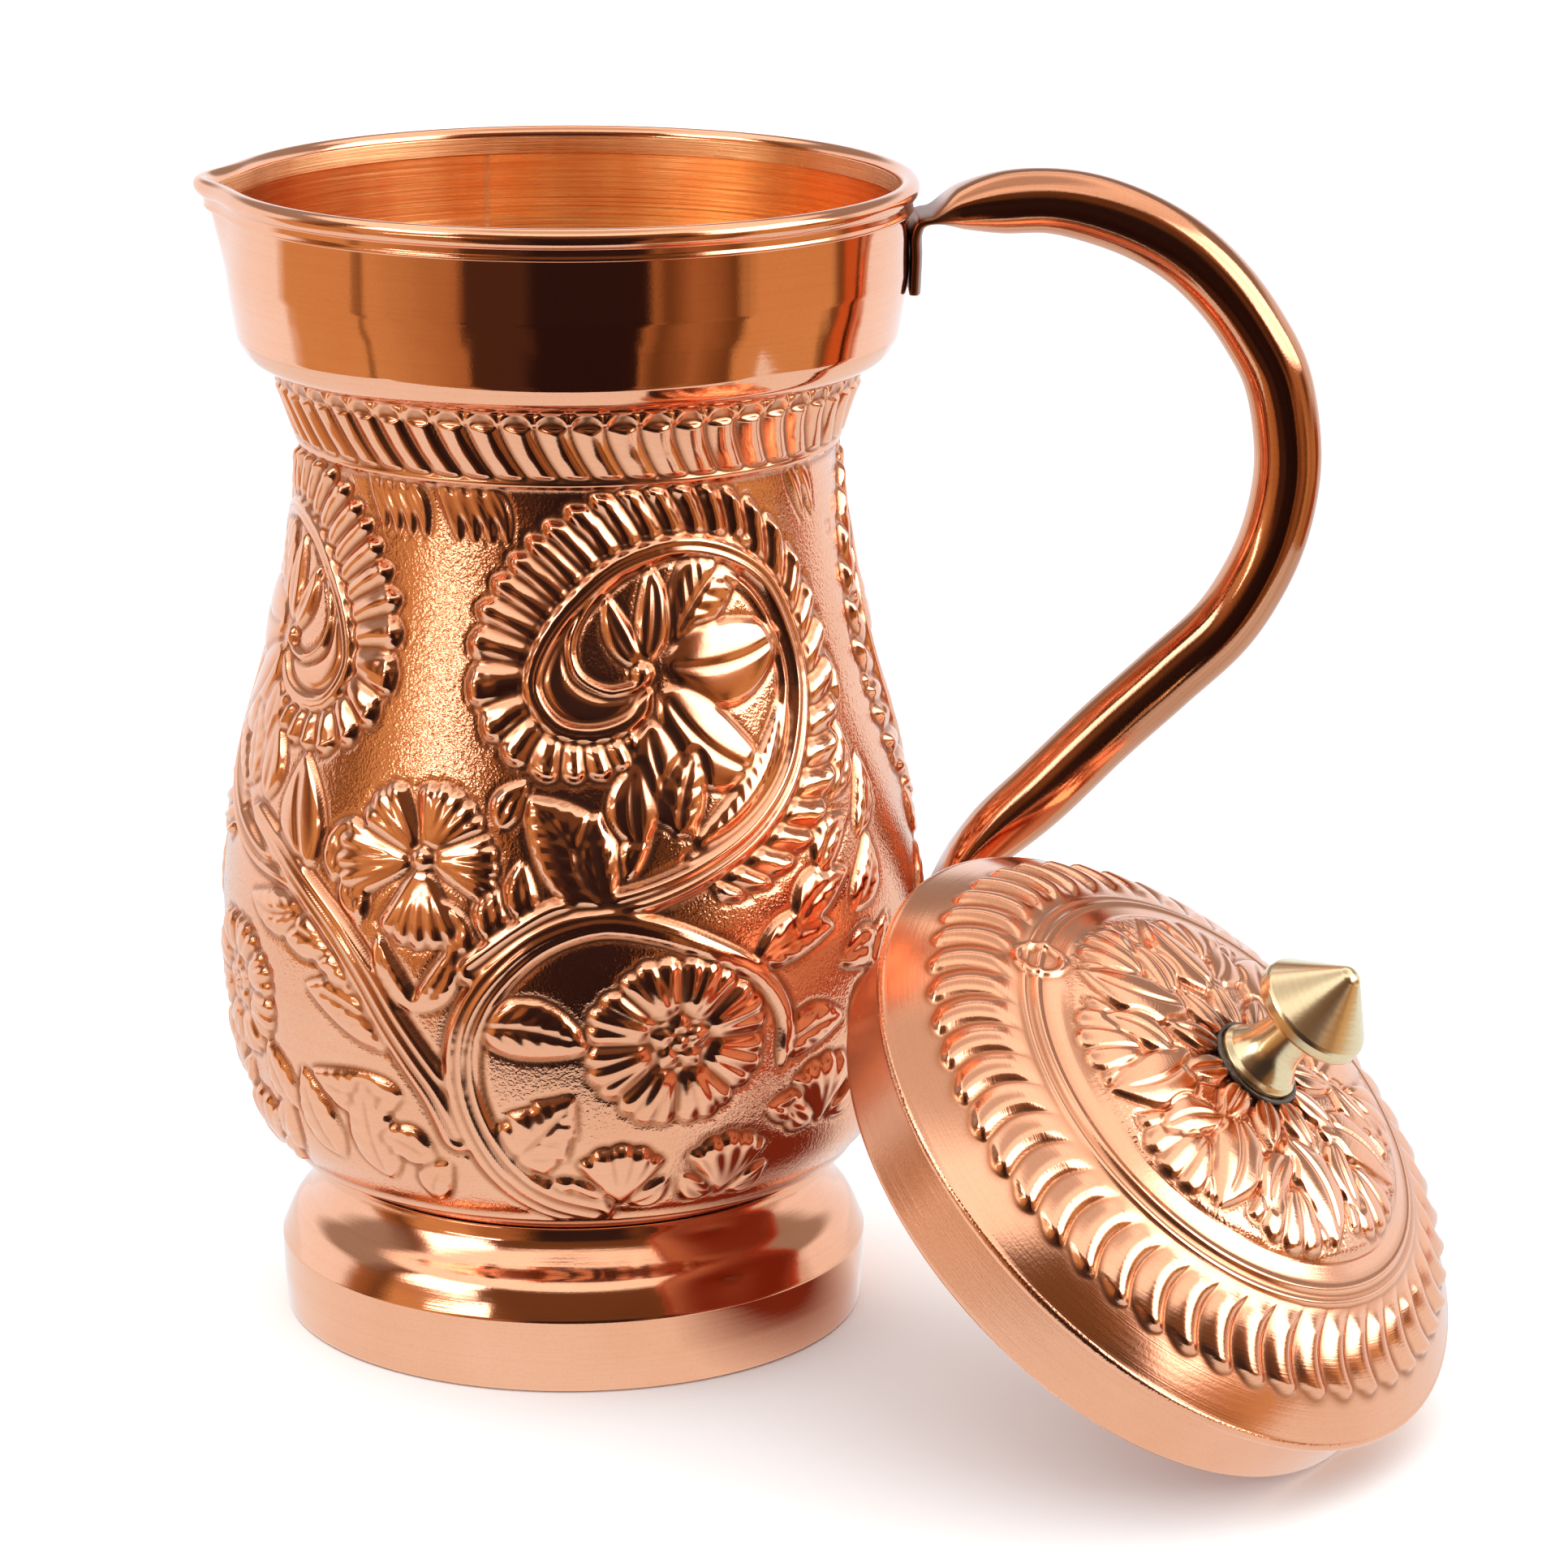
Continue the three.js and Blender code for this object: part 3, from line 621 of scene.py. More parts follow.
# From the collar to the belly: how far out from the line between the handle's ends, share of the height
# between them, half width and half thickness.
STATIONS = np.array([
    (-0.3, 1 - TAB, FLAT_WIDE, FLAT_THIN), (0, 1 - TAB / 2, FLAT_WIDE, FLAT_THIN),
    (0, 1 - TAB / 4.5, FLAT_WIDE, FLAT_THIN), (0.9, 1 - TAB / 18, FLAT_WIDE, FLAT_THIN),
    (3, 1, FLAT_WIDE, FLAT_THIN), (7.5, 1.009, 7.2, 3.7), (14.7, 1.015, 6.3, 5.4), (23.2, 1.017, TUBE_R, 5.7),
    (31, 1.006, TUBE_R, TUBE_R), (40, 0.98, TUBE_R, TUBE_R), (48, 0.942, TUBE_R, TUBE_R),
    (54.5, 0.893, TUBE_R, TUBE_R), (59.4, 0.84, TUBE_R, TUBE_R), (63, 0.786, TUBE_R, TUBE_R),
    (64.8, 0.72, TUBE_R, TUBE_R), (65, 0.649, TUBE_R, TUBE_R), (62.6, 0.566, TUBE_R, TUBE_R),
    (58.7, 0.501, TUBE_R, TUBE_R), (53.1, 0.439, TUBE_R, TUBE_R), (42.8, 0.367, TUBE_R, TUBE_R),
    (31.6, 0.291, TUBE_R, TUBE_R), (20, 0.206, TUBE_R, TUBE_R), (12.6, 0.157, 6.4, 5.5),
    (6.8, 0.115, 7.1, 3.9), (2.9, 0.08, FLAT_WIDE, 2), (0.5, 0.043, FLAT_WIDE, FLAT_THIN),
    (0, 0, FLAT_WIDE, FLAT_THIN),
])
HANDLE_STEPS, HANDLE_SIDES = 520, 64


def handle_middle():
    """The tube's middle line, from the tab on the collar to the pad on the belly."""
    out, share = STATIONS[:, 0], STATIONS[:, 1]
    top, bottom = COLLAR_R + TAB_GAP + FLAT_THIN, BELLY_R + PAD_GAP + FLAT_THIN
    x = bottom + (top - bottom) * ramp(share, 0, 1) + out
    z = PAD_Z + (HEM_FOOT - TONGUE_DROP - PAD_Z) * share
    return centripetal(np.stack([x, 0 * x, z], 1), HANDLE_STEPS)


def tube_rings(middle, wide, thick, hug):
    """Rings round the middle line, rounder where thicker. `hug` bends the flat ends round the jug."""
    along = np.gradient(middle, axis=0)
    along /= np.linalg.norm(along, axis=1)[:, None]
    across = np.stack([along[:, 2], 0 * along[:, 0], -along[:, 0]], 1)
    angle = -np.arange(HANDLE_SIDES) * TAU / HANDLE_SIDES
    power = 0.5 + 0.5 * np.minimum(thick / wide, 1)[:, None]
    c, s = [np.sign(v) * np.abs(v) ** power for v in (np.cos(angle)[None], np.sin(angle)[None])]
    p = middle[:, None] + across[:, None] * (thick[:, None] * s)[..., None]
    p[..., 1] += wide[:, None] * c
    p[..., 0] -= hug[:, None] * p[..., 1] ** 2 / (2 * COLLAR_R)
    return p


def handle():
    """A tube flattened into a tab at the collar and a pad at the belly."""
    middle = handle_middle()
    wide, thick = catmull(STATIONS[:, 2:], HANDLE_STEPS).T
    station = np.linspace(0, 1, HANDLE_STEPS + 1)
    out = np.interp(station, np.linspace(0, 1, len(STATIONS)), STATIONS[:, 0])
    hug = 1 - ramp(out, 0.3, 3.5)
    outer = tube_rings(middle, wide, thick, hug)
    bore = tube_rings(middle, wide - SHEET, thick - SHEET, hug)
    piece = grid("handle", np.vstack([outer, bore[::-1]]), wrap_rows=True)
    # Painted shade: the flat tab and pad are darkened through the cavity value.
    flat = 1 - ramp(thick, FLAT_THIN, FLAT_THIN + 2.5)
    add_values(piece, "cavity", np.concatenate([flat, flat[::-1]])[:, None] * np.ones(HANDLE_SIDES))
    return piece


# ---------------- lid pieces, lid axis on Z
def lid_frame():
    """Where the leaning lid stands: its skirt's lower edge is just above the table."""
    cos, sin = math.cos(LEAN), math.sin(LEAN)
    away = Vector((math.cos(BEARING), math.sin(BEARING), 0))
    axis = away * cos + Vector((0, 0, sin))
    side = Vector((-math.sin(BEARING), math.cos(BEARING), 0))
    distance = BELLY_R + SKIRT_DEPTH * cos + SKIRT_R * sin + LID_TO_BELLY
    height = SKIRT_DEPTH * sin + SKIRT_R * cos + LID_TO_TABLE
    turn = Matrix([side, axis.cross(side), axis]).transposed().to_4x4()
    return Matrix.Translation((away * distance + Vector((0, 0, height))) * MM) @ turn


def dome(r):
    return DOME_HEIGHT * (1 - (r / LID_R) ** DOME_POWER)


MEDALLION_R, FLUTES_IN, FLUTES_OUT, FLUTE_PITCH = 34.6, 42.2, 54, 7.5
LOOP_AT, LOOP_BEARING, LOOP_R = 39.5, math.radians(118), 3.6


def medallion(r):
    """Eight fans with two leaves on each, round eleven small petals."""
    for k in range(8):
        turn = 15 + k * 45
        c, s = math.cos(math.radians(turn)), math.sin(math.radians(turn))
        r.fan(c * 16, s * 16, turn - 8, 19, 62, 4, lift=0.9, start=8)
        r.leaf(c * 14.5, s * 14.5, turn + 24, 20, 10.5, 2.6, veins=0, lift=1.2)
        r.leaf(c * 18, s * 18, turn - 32, 13, 6.5, -1.4, veins=0, lift=0.9)
    for k in range(11):
        turn = k * 360 / 11
        c, s = math.cos(math.radians(turn)), math.sin(math.radians(turn))
        r.leaf(c * 7, s * 7, turn, 11, 5.6, veins=0, lift=1.1)


def lid_flutes(radius, angle):
    """Bowed flutes with rounded outer ends round the shoulder."""
    t = np.clip((radius - FLUTES_IN - 0.8) / 11, 0, 1)
    lobe = slanted_flute(angle + 3 * np.sin(np.pi * t) ** 0.8, FLUTE_PITCH, 0.8)
    end = -FLUTES_OUT - 1.2 * lobe
    span = ramp(radius, FLUTES_IN, FLUTES_IN + 4.3) * ramp(-radius, end, end + 1.6)
    return 1.35 * lobe * span * (0.55 + 0.45 * t)


def lid_pattern(x, y):
    """A leaf medallion, two raised lines with a small loop over them, and a ring of flutes."""
    r = Relief(x, y)
    radius, angle = np.hypot(x, y), np.degrees(np.arctan2(y, x))
    medallion(r)
    r.soften(2)
    r.punch(0.022, GRAIN_SEED + 1)
    h, cover = r.field()
    inner = ramp(-radius, -MEDALLION_R - 1, -MEDALLION_R)
    h, cover = h * inner, np.maximum(cover, 1 - inner)
    h = h + lid_flutes(radius, angle) + 0.45 * bell(radius - 39.6, 0.6) + 0.3 * bell(radius - 41.6, 0.4)
    loop = np.hypot(x - LOOP_AT * math.cos(LOOP_BEARING), y - LOOP_AT * math.sin(LOOP_BEARING))
    return h + 0.8 * bell(loop - LOOP_R, 0.7), cover


def lid_line():
    """The lid's under side, rolled edge and top as one line, and the row where the top starts."""
    edge = LID_R - LID_BEAD_R
    radii = np.linspace(edge + 0.6, KNOB_HOLE_R, 190)
    step = STEP_HEIGHT * ramp(-radii, -STEP_R - 1.1, -STEP_R + 1.1)
    step *= np.minimum(1, (LID_R - radii) / LID_R + 0.4)
    top = np.stack([radii, dome(radii) + step], 1)
    under_r = np.linspace(KNOB_HOLE_R, edge - 2.4, 40)
    slope = DOME_POWER * DOME_HEIGHT * (under_r / LID_R) ** (DOME_POWER - 1) / LID_R
    under = np.stack([under_r, dome(under_r) - SHEET * np.hypot(1, slope)], 1)
    roll = arc(edge, -0.4, LID_BEAD_R, -180, 40, 24)
    return np.vstack([under, roll, top]), len(under) + len(roll)


def lid_cover():
    line, start = lid_line()
    p = turned(line, EMBOSSED_COLS)
    heights, covers = np.zeros((2, len(line), EMBOSSED_COLS))
    heights[start:], covers[start:] = lid_pattern(p[start:, :, 0], p[start:, :, 1])
    piece = grid("lid_dome", turned(line, EMBOSSED_COLS, heights), wrap_rows=True)
    # Painted shade in the grooves: the metals darken the colour where this value is high.
    add_values(piece, "cavity", cavity(heights))
    add_values(piece, "cover", covers)
    add_values(piece, "smear", ramp(-np.hypot(p[..., 0], p[..., 1]), -15, -7.5))
    return piece


def lid_skirt():
    top = dome(SKIRT_R) - 2.2
    wall = even([(SKIRT_R - 0.2, -SKIRT_DEPTH), (SKIRT_R, -SKIRT_DEPTH + 0.3), (SKIRT_R, top)], 0.5)
    return grid("skirt", turned(even(sheet_outline(wall), FINE_STEP), PLAIN_COLS), wrap_rows=True)


def knob():
    """A stud through the lid, a flared foot, a waisted stem and a cone with a rounded tip."""
    seat, head = CROWN_Z + KNOB_GAP, CROWN_Z + 13.7
    top, tip, base, stem, wide = head + 12.4, 2.6, KNOB_BASE_R, KNOB_STEM_R, KNOB_HEAD_R
    line = np.vstack([
        [(AXIS_R, seat - 6.5), (KNOB_STUD_R, seat - 6.5), (KNOB_STUD_R, seat)],
        [(base - 0.3, seat), (base, seat + 0.3), (base, seat + 1.2)],
        catmull([(base - 0.8, seat + 2), (stem + 0.9, seat + 5.5), (stem, head - 1.5)], 20),
        [(stem, head - 0.2), (stem + 0.3, head), (wide - 0.6, head), (wide, head + 0.6)],
        [(wide, head + 2.2), (wide - 0.3, head + 2.8)],
        arc(0, top - tip, tip, 36, 89.5, 14),
    ])
    return grid("knob", turned(even(line, 0.14), KNOB_COLS))


def solder():
    """A lumpy ring of solder run round the knob's foot."""
    ring_r, ring_z = KNOB_BASE_R + SOLDER_R, CROWN_Z + 0.45
    p = turned(arc(ring_r, ring_z, SOLDER_R, 0, 360, 20)[:-1], SOLDER_COLS)
    a = np.arange(SOLDER_COLS) * TAU / SOLDER_COLS
    swell = 1 + 0.2 * np.sin(3 * a + 1) + 0.14 * np.sin(7 * a) + 0.08 * np.sin(17 * a + 2)
    middle = turned([(ring_r, ring_z)], SOLDER_COLS)
    return grid("solder", middle + (p - middle) * swell[None, :, None], wrap_rows=True)


# ---------------- material helpers
def node(tree, kind, **inputs):
    """A shader node. Sockets are linked, input names get values, and the rest are the node's own settings."""
    made = tree.nodes.new(kind)
    for key, value in inputs.items():
        if isinstance(value, bpy.types.NodeSocket):
            tree.links.new(value, made.inputs[key])
        elif key in made.inputs:
            made.inputs[key].default_value = value
        else:
            setattr(made, key, value)
    return made


def fill(tree, socket, value):
    """Links or sets a socket."""
    if isinstance(value, bpy.types.NodeSocket):
        tree.links.new(value, socket)
    else:
        socket.default_value = value


def math_node(tree, operation, *terms):
    made = node(tree, "ShaderNodeMath", operation=operation)
    for socket, value in zip(made.inputs, terms):
        fill(tree, socket, value)
    return made.outputs[0]


def mixed(tree, factor, a, b, kind="MIX"):
    """A blend of two colours, each an RGB triple or a socket."""
    mix = tree.nodes.new("ShaderNodeMix")
    mix.data_type, mix.blend_type = "RGBA", kind
    fill(tree, mix.inputs["Factor"], factor)
    for socket, value in ((mix.inputs[6], a), (mix.inputs[7], b)):
        fill(tree, socket, value if isinstance(value, bpy.types.NodeSocket) else (*value, 1))
    return mix.outputs[2]


def spread(tree, value, low, high, to_low=0.0, to_high=1.0):
    """`value` from low..high, carried over to to_low..to_high and clamped there."""
    made = node(tree, "ShaderNodeMapRange", Value=value)
    for key, number in (("From Min", low), ("From Max", high), ("To Min", to_low), ("To Max", to_high)):
        made.inputs[key].default_value = number
    return made.outputs["Result"]


def noise(tree, where, scale, detail=3.0, stretch=None):
    if stretch:
        where = node(tree, "ShaderNodeMapping", Vector=where, Scale=stretch).outputs["Vector"]
    return node(tree, "ShaderNodeTexNoise", Vector=where, Scale=scale, Detail=detail).outputs["Fac"]


def attribute(tree, name):
    return node(tree, "ShaderNodeAttribute", attribute_name=name).outputs["Fac"]


# ---------------- metals
COPPER, COPPER_DEEP = (0.95, 0.47, 0.285), (0.72, 0.24, 0.09)
# The handle's copper: a darker copy of the body's, as painted shade.
SHADED_COPPER, SHADED_COPPER_DEEP = (0.80, 0.35, 0.19), (0.34, 0.13, 0.06)
# Inside faces: a brighter, more orange copy of the copper as painted light, and the darker colour of its
# streaks.
INSIDE_LIT_COPPER, INSIDE_DEEP = (1.0, 0.62, 0.3), (0.8, 0.27, 0.08)
BRASS, BRASS_DEEP = (0.90, 0.71, 0.44), (0.60, 0.40, 0.18)
LEAD, LEAD_DEEP = (0.16, 0.14, 0.12), (0.05, 0.04, 0.035)
TARNISH = (0.10, 0.08, 0.07)
FINE_SCALE, PUNCH_SCALE, TARNISH_SCALE = 1900, 2100, 190
# Painted shade in grooves and on the handle's flat ends, also the collar's seam, and the extra roughness
# there.
SHADE_AND_SEAM_DARKNESS, GROOVE_MATT = 0.85, 0.22
INSIDE_MATT, INSIDE_LINES = 0.18, 0.08
# Painted light columns and brush strokes inside the mouth: cells round the piece and along its section, and
# strength.
INSIDE_STREAKS = (((34, 1, 1), 0.4), ((14, 100, 1), 0.5))


def worn_and_shaded_colour(tree, colour, deep, cloud, fine, lines, streaks):
    """Cloudy, finely speckled and streaked colour, with painted shade in the grooves and on the handle's flat
    ends, and the collar's dark seam.
    """
    base = mixed(tree, spread(tree, cloud, 0.35, 0.7, 0, 0.32), colour, deep)
    base = mixed(tree, spread(tree, fine, 0.5, 0.75, 0, 0.15), base, deep)
    base = mixed(tree, spread(tree, lines, 0.42, 0.68, 0, streaks), base, deep)
    # Painted shade: darkens grooves and the handle's flat ends by the cavity value, which also holds the
    # collar's real seam.
    shade_and_seam = tuple(0.6 * v for v in deep)
    return mixed(tree, spread(tree, attribute(tree, "cavity"), 0, 1, 0, SHADE_AND_SEAM_DARKNESS), base, shade_and_seam)


def inside_colour(tree, base, along):
    """The same, with painted light on brushed inside faces: a brighter, more orange copper, streaked with
    painted light columns and brush strokes.
    """
    inside = attribute(tree, "brushing_and_inside_light")
    base = mixed(tree, inside, base, INSIDE_LIT_COPPER)
    # Painted light columns round the mouth, then brush strokes along it.
    for cells, share in INSIDE_STREAKS:
        streak = spread(tree, noise(tree, along, 1.0, 3, cells), 0.42, 0.62, 0, share)
        base = mixed(tree, math_node(tree, "MULTIPLY", inside, streak), base, INSIDE_DEEP)
    return base


def stained(tree, base, place):
    """Tarnish in patches."""
    patches = spread(tree, noise(tree, place, TARNISH_SCALE, 5), 0.4, 0.62)
    return mixed(tree, math_node(tree, "MULTIPLY", attribute(tree, "smear"), patches), base, TARNISH)


def worn_roughness(tree, rough, cloud):
    rubbed = spread(tree, cloud, 0.3, 0.75, rough * 0.8, rough * 1.35)
    worn = math_node(tree, "ADD", rubbed, spread(tree, attribute(tree, "cavity"), 0, 1, 0, GROOVE_MATT))
    return math_node(tree, "MULTIPLY_ADD", attribute(tree, "brushing_and_inside_light"), INSIDE_MATT, worn)


def surface_height(tree, place, fine, lines, brushed, grain, punched):
    """Lathe lines, fine grain and the matted ground between motifs, in mm."""
    depth = spread(tree, attribute(tree, "brushing_and_inside_light"), 0, 1, brushed, brushed + INSIDE_LINES)
    height = math_node(tree, "MULTIPLY_ADD", lines, depth, spread(tree, fine, 0, 1, 0, grain))
    if punched:
        ground = spread(tree, attribute(tree, "cover"), 0, 1, punched, 0)
        height = math_node(tree, "MULTIPLY_ADD", noise(tree, place, PUNCH_SCALE, 1), ground, height)
    return height


def metal(name, colour, deep, rough, brushed=0.0, grain=0.02, stretch=(3, 260, 1), mottle=26.0,
          streaks=0.1, tarnished=False, punched=0.0):
    """Worn polished metal with painted shade in its grooves. `deep` is its colour in stains and, darker, its
    painted shade in grooves, `brushed` the depth of its lathe lines, and `stretch` their cells round the
    piece and along its section."""
    material = bpy.data.materials.new(name)
    material.use_nodes = True
    tree = material.node_tree
    tree.nodes.clear()
    coords = node(tree, "ShaderNodeTexCoord")
    place, along = coords.outputs["Object"], coords.outputs["UV"]
    cloud, fine = noise(tree, place, mottle, 5), noise(tree, place, FINE_SCALE, 3)
    lines = noise(tree, along, 1.0, 4, stretch)
    base = worn_and_shaded_colour(tree, colour, deep, cloud, fine, lines, streaks)
    base = inside_colour(tree, base, along)
    if tarnished:
        base = stained(tree, base, place)
    height = surface_height(tree, place, fine, lines, brushed, grain, punched)
    bump = node(tree, "ShaderNodeBump", Strength=1.0, Distance=MM, Height=height)
    shader = node(tree, "ShaderNodeBsdfPrincipled", Metallic=1.0, **{"Base Color": base},
                  Roughness=worn_roughness(tree, rough, cloud), Normal=bump.outputs["Normal"])
    node(tree, "ShaderNodeOutputMaterial", Surface=shader.outputs["BSDF"])
    return material


def copper(name, rough, **finish):
    return metal(name + "_copper", COPPER, COPPER_DEEP, rough, **finish)


METALS = {
    "embossed": copper("embossed", 0.11, grain=0.006, punched=0.07),
    "polished": copper("polished", 0.07, brushed=0.004, grain=0.003, stretch=(3, 110, 1)),
    "rim": copper("rim", 0.09, brushed=0.005, grain=0.006),
    "foot": copper("foot", 0.1, brushed=0.012, grain=0.006, stretch=(2, 90, 1)),
    # The handle, painted darker than the body as shade.
    "tube": metal("handle_copper", SHADED_COPPER, SHADED_COPPER_DEEP, 0.1, brushed=0.008, grain=0.008,
                  stretch=(26, 5, 1), streaks=0.6),
    "lid": copper("lid", 0.15, brushed=0.02, grain=0.012, tarnished=True, punched=0.07),
    "skirt": copper("skirt", 0.26, brushed=0.03, grain=0.02),
    "wire": copper("wire", 0.25),
    "base": copper("base", 0.34, brushed=0.02, grain=0.04),
    "brass": metal("knob_brass", BRASS, BRASS_DEEP, 0.2, brushed=0.01, grain=0.008, stretch=(2, 60, 1)),
    "nut": metal("nut_brass", BRASS, BRASS_DEEP, 0.25, grain=0.03),
    "solder": metal("solder", LEAD, LEAD_DEEP, 0.42, grain=0.12, mottle=300),
}


# ---------------- pieces in place
def finish_piece(piece, look, body, slot, *nodes):
    """Gives a piece its metal. A new piece rides on its body and takes the place of the named CAD nodes."""
    piece.data.materials.clear()
    piece.data.materials.append(METALS[look])
    if nodes:
        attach(piece, body)
        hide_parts(*nodes)


def on_lid(piece):
    piece.data.transform(lid_frame())
    return piece


finish_piece(belly(), "embossed", "jug", "embossed_copper", "belly_shell")
finish_piece(collar(), "polished", "jug", "mirror_copper", "mouth_collar")
finish_piece(rim(), "rim", "jug", "rim_copper", "rim_hem")
finish_piece(foot(), "foot", "jug", "foot_copper", "foot_ring")
finish_piece(handle(), "tube", "jug", "handle_copper", "handle_tube")
finish_piece(on_lid(lid_cover()), "lid", "lid", "lid_copper", "lid_cover")
finish_piece(on_lid(lid_skirt()), "skirt", "lid", "skirt_copper", "lid_skirt")
finish_piece(on_lid(knob()), "brass", "lid", "knob_brass", "lid_knob")
finish_piece(on_lid(solder()), "solder", "lid", "solder", "knob_solder_ring")
finish_piece(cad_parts["rim_wire"], "wire", "jug", "wire")
finish_piece(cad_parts["base_plate"], "base", "jug", "base_copper")
finish_piece(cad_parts["knob_nut"], "nut", "lid", "nut_brass")


# ---------------- camera
CAMERA_AT, CAMERA_LENS = Vector((0, -0.92358, 0.34372)), 123.33
YAW, PITCH, ROLL = 0.041, 0.263, 0.004


def add_camera():
    ahead = Vector((math.sin(YAW) * math.cos(PITCH), math.cos(YAW) * math.cos(PITCH), -math.sin(PITCH)))
    level = Vector((math.cos(YAW), -math.sin(YAW), 0))
    upright = level.cross(ahead)
    right = math.cos(ROLL) * level + math.sin(ROLL) * upright
    up = math.cos(ROLL) * upright - math.sin(ROLL) * level
    data = bpy.data.cameras.new("camera")
    data.lens, data.sensor_width = CAMERA_LENS, 36
    data.clip_start, data.clip_end = 0.05, 20
    camera = bpy.data.objects.new("camera", data)
    camera.matrix_world = Matrix.Translation(CAMERA_AT) @ Matrix([right, up, -ahead]).transposed().to_4x4()
    bpy.context.scene.collection.objects.link(camera)
    bpy.context.scene.camera = camera


# ---------------- floor and glowing cards
FLOOR_REACH, FLOOR_DROP, TABLE_DROP = 6, 0.0002, 0.0004
TABLE_EDGES = (-0.34, 0.4, -0.17, 0.5)
TABLE_LIGHT, TABLE_TINT = 0.95, (0.98, 1.08, 1.15)
SHADE_AT, SHADE_RADIUS, SHADE_TINT = (0.082, -0.045), 0.062, (0.2, 0.04, 0.02)
LAMP_AT, LAMP_AIM = Vector((-0.479, -0.472, 0.239)), Vector((-0.026, -0.049, 0.113))
LAMP_HALF, LAMP_TILT, LAMP_LIGHT = (0.15, 0.016), math.radians(-15), 7


def flat_sheet(name, x0, x1, y0, y1, z):
    mesh = bpy.data.meshes.new(name)
    mesh.from_pydata([(x0, y0, z), (x1, y0, z), (x1, y1, z), (x0, y1, z)], [], [(0, 1, 2, 3)])
    sheet = bpy.data.objects.new(name, mesh)
    bpy.context.scene.collection.objects.link(sheet)
    return sheet


def add_floor():
    floor = flat_sheet("floor", -FLOOR_REACH, FLOOR_REACH, -FLOOR_REACH, FLOOR_REACH, -FLOOR_DROP)
    matt = bpy.data.materials.new("floor")
    matt.use_nodes = True
    shader = matt.node_tree.nodes["Principled BSDF"]
    shader.inputs["Base Color"].default_value = (0.93, 0.93, 0.93, 1)
    shader.inputs["Roughness"].default_value = 0.9
    shader.inputs["Specular IOR Level"].default_value = 0.1
    floor.data.materials.append(matt)
    floor.visible_glossy = False


def reflected(sheet, strength, colour=None):
    """Makes a sheet that glows, in the metal's reflections only. `colour` builds its tint in a node tree."""
    glow = bpy.data.materials.new(sheet.name)
    glow.use_nodes = True
    tree = glow.node_tree
    tree.nodes.clear()
    light = node(tree, "ShaderNodeEmission", Strength=strength)
    if colour:
        tree.links.new(colour(tree), light.inputs["Color"])
    node(tree, "ShaderNodeOutputMaterial", Surface=light.outputs[0])
    sheet.data.materials.append(glow)
    for ray in ("camera", "diffuse", "shadow", "transmission", "volume_scatter"):
        setattr(sheet, f"visible_{ray}", False)


def shaded_table(tree):
    """White, but dim and red under the lid."""
    place = node(tree, "ShaderNodeTexCoord").outputs["Object"]
    moved = node(tree, "ShaderNodeMapping", Vector=place, Scale=(1 / SHADE_RADIUS, 1 / SHADE_RADIUS, 1),
                 Location=(-SHADE_AT[0] / SHADE_RADIUS, -SHADE_AT[1] / SHADE_RADIUS, 0)).outputs["Vector"]
    spot = node(tree, "ShaderNodeTexGradient", gradient_type="SPHERICAL", Vector=moved).outputs["Fac"]
    return mixed(tree, spread(tree, spot, 0.1, 0.6), TABLE_TINT, SHADE_TINT)


def add_cards():
    """The lit table top, which ends a little in front of the jug, and a small low lamp on the left."""
    reflected(flat_sheet("table_reflection", *TABLE_EDGES, -TABLE_DROP), TABLE_LIGHT, shaded_table)
    half_x, half_y = LAMP_HALF
    lamp = flat_sheet("low_lamp", -half_x, half_x, -half_y, half_y, 0)
    facing = (LAMP_AIM - LAMP_AT).to_track_quat("Z", "Y").to_matrix().to_4x4()
    lamp.matrix_world = Matrix.Translation(LAMP_AT) @ facing @ Matrix.Rotation(LAMP_TILT, 4, "Z")
    reflected(lamp, LAMP_LIGHT)


# ---------------- room
# What the metal sees all round, by direction in degrees. 0 is the jug's front, 90 the handle, -90 the lip.
WHITE, PALE, DIM = (1, 1, 1), (1.02, 1.14, 1.26), (0.38, 0.35, 0.33)
GOLD, TAN = (0.68, 0.42, 0.19), (0.40, 0.20, 0.08)
BROWN, UMBER, DARK = (0.15, 0.07, 0.025), (0.07, 0.034, 0.022), (0.025, 0.012, 0.012)
ORANGE, BLACK = (0.6, 0.15, 0.04), (0, 0, 0)
LOW_BAND = [
    (-180, PALE), (-114, PALE), (-108, GOLD), (-77, GOLD), (-75, BROWN), (-72, GOLD), (-38, TAN),
    (-34, UMBER), (-16, UMBER), (-12, DARK), (26, DARK), (28, TAN), (32, BROWN), (44, TAN),
    (60, BROWN), (64, GOLD), (98, GOLD), (103, BROWN), (107, ORANGE), (117, ORANGE), (121, PALE), (180, PALE),
]
MIDDLE_BAND = [
    (-180, PALE), (-104, PALE), (-96, TAN), (-84, BROWN), (-74, GOLD), (-50, GOLD), (-42, TAN), (-30, TAN),
    (-20, BROWN), (-14, DARK), (22, DARK), (30, BROWN), (38, DARK), (48, TAN), (76, GOLD), (84, BROWN),
    (92, TAN), (108, PALE), (180, PALE),
]
HIGH_BAND = [
    (-180, DIM), (-100, DIM), (-84, BROWN), (-74, TAN), (-50, TAN), (-40, BROWN), (34, BROWN), (46, TAN),
    (76, TAN), (90, BROWN), (104, DIM), (180, DIM),
]
LEFT_LAMP = [(-180, BLACK), (-78, BLACK), (-73, WHITE), (-46, WHITE), (-41, BLACK), (180, BLACK)]
RIGHT_LAMP = [(-180, BLACK), (46, BLACK), (51, WHITE), (94, WHITE), (99, BLACK), (180, BLACK)]
LAMP_GLOW = (3.8, 4, 4.4)
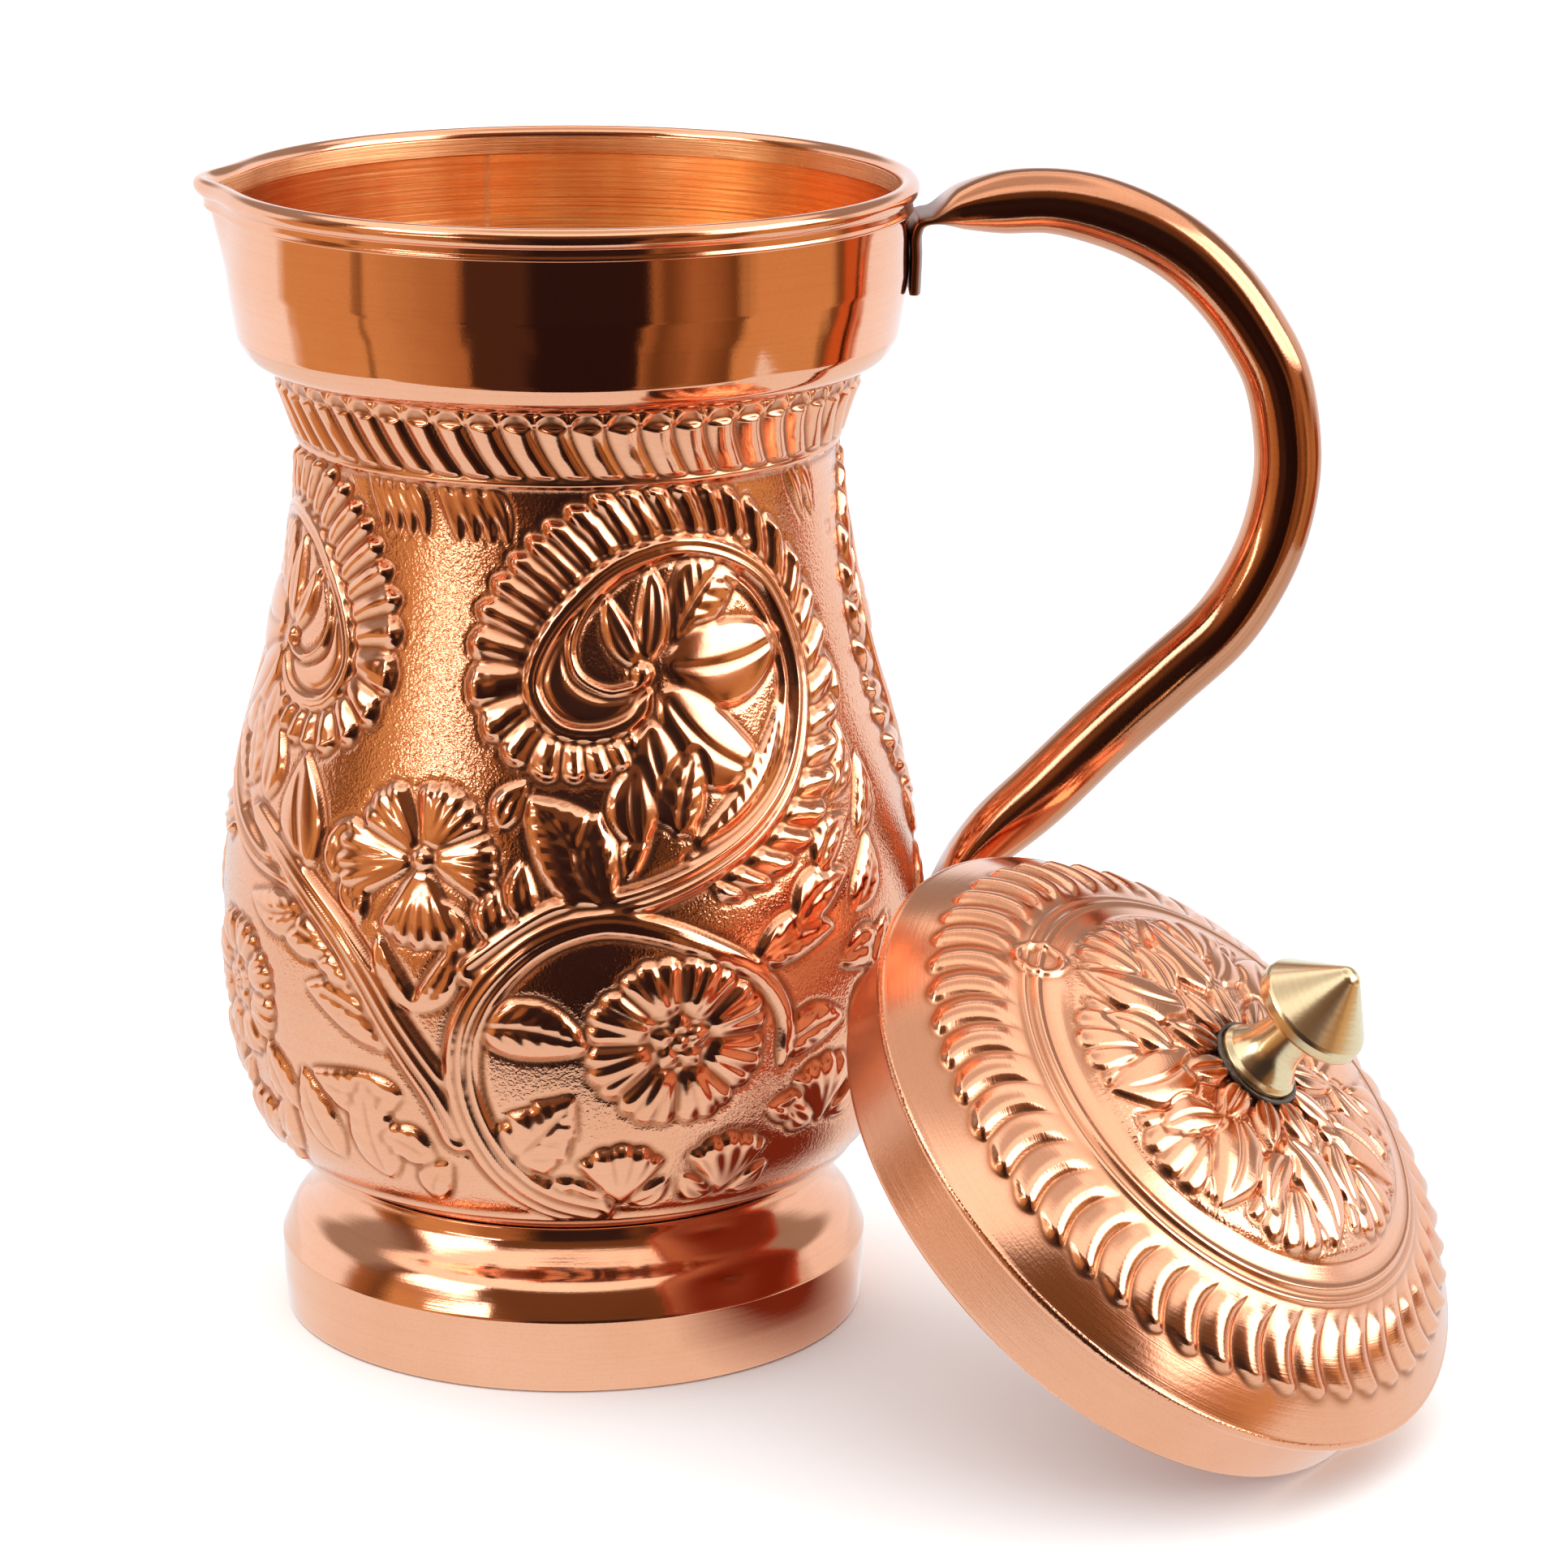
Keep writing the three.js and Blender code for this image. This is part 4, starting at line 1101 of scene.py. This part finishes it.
OVERHEAD, ZENITH, SKY = (1.4, 1.4, 1.4), (0.75, 0.72, 0.7), (1.7, 1.7, 1.7)
WAVER_SCALE, WAVER = 7, 0.22


def colour_band(tree, where, stops):
    band = node(tree, "ShaderNodeValToRGB", Fac=where)
    elements = band.color_ramp.elements
    elements.remove(elements[-1])
    for k, (at, colour) in enumerate(stops):
        spot = elements[0] if k == 0 else elements.new((at + 180) / 360)
        spot.position = (at + 180) / 360
        spot.color = (*colour, 1)
    return band.outputs["Color"]


def round_share(tree, direction, x, y):
    """Where a direction points round the room, 0 to 1 from -180 to 180 degrees, a little uneven."""
    turn = math_node(tree, "ARCTAN2", x, math_node(tree, "MULTIPLY", y, -1))
    bent = math_node(tree, "MULTIPLY_ADD", noise(tree, direction, WAVER_SCALE, 3), WAVER, turn)
    return spread(tree, bent, -math.pi + WAVER / 2, math.pi + WAVER / 2)


def room_walls(tree, share, z):
    walls = mixed(tree, spread(tree, z, -0.1, 0.0), colour_band(tree, share, LOW_BAND),
                  colour_band(tree, share, MIDDLE_BAND))
    return mixed(tree, spread(tree, z, 0.28, 0.4), walls, colour_band(tree, share, HIGH_BAND))


def room_lamps(tree, share, z):
    left = mixed(tree, spread(tree, z, 0.38, 0.44), BLACK, colour_band(tree, share, LEFT_LAMP))
    right = mixed(tree, spread(tree, z, 0.12, 0.2), BLACK, colour_band(tree, share, RIGHT_LAMP))
    return mixed(tree, 1.0, left, right, "ADD")


def room_colour(tree):
    direction = node(tree, "ShaderNodeTexCoord").outputs["Generated"]
    x, y, z = node(tree, "ShaderNodeSeparateXYZ", Vector=direction).outputs
    share = round_share(tree, direction, x, y)
    lit = node(tree, "ShaderNodeVectorMath", operation="MULTIPLY_ADD")
    for socket, value in zip(lit.inputs, (room_lamps(tree, share, z), LAMP_GLOW, room_walls(tree, share, z))):
        fill(tree, socket, value)
    room = mixed(tree, spread(tree, z, 0.66, 0.72), lit.outputs[0], OVERHEAD)
    return mixed(tree, spread(tree, z, 0.9, 0.97), room, ZENITH)


def add_room():
    """Plain white light for the floor and the background, and the room for the metal's reflections."""
    world = bpy.data.worlds.new("room")
    bpy.context.scene.world = world
    world.use_nodes = True
    tree = world.node_tree
    tree.nodes.clear()
    seen = node(tree, "ShaderNodeBackground", Color=room_colour(tree), Strength=1.0).outputs[0]
    plain = node(tree, "ShaderNodeBackground", Color=(*SKY, 1), Strength=1.0).outputs[0]
    pick = node(tree, "ShaderNodeMixShader")
    rays = node(tree, "ShaderNodeLightPath")
    for socket, value in zip(pick.inputs, (rays.outputs["Is Glossy Ray"], plain, seen)):
        tree.links.new(value, socket)
    node(tree, "ShaderNodeOutputWorld", Surface=pick.outputs[0])


add_camera()
add_floor()
add_cards()
add_room()
bpy.context.scene.view_settings.view_transform = "Standard"
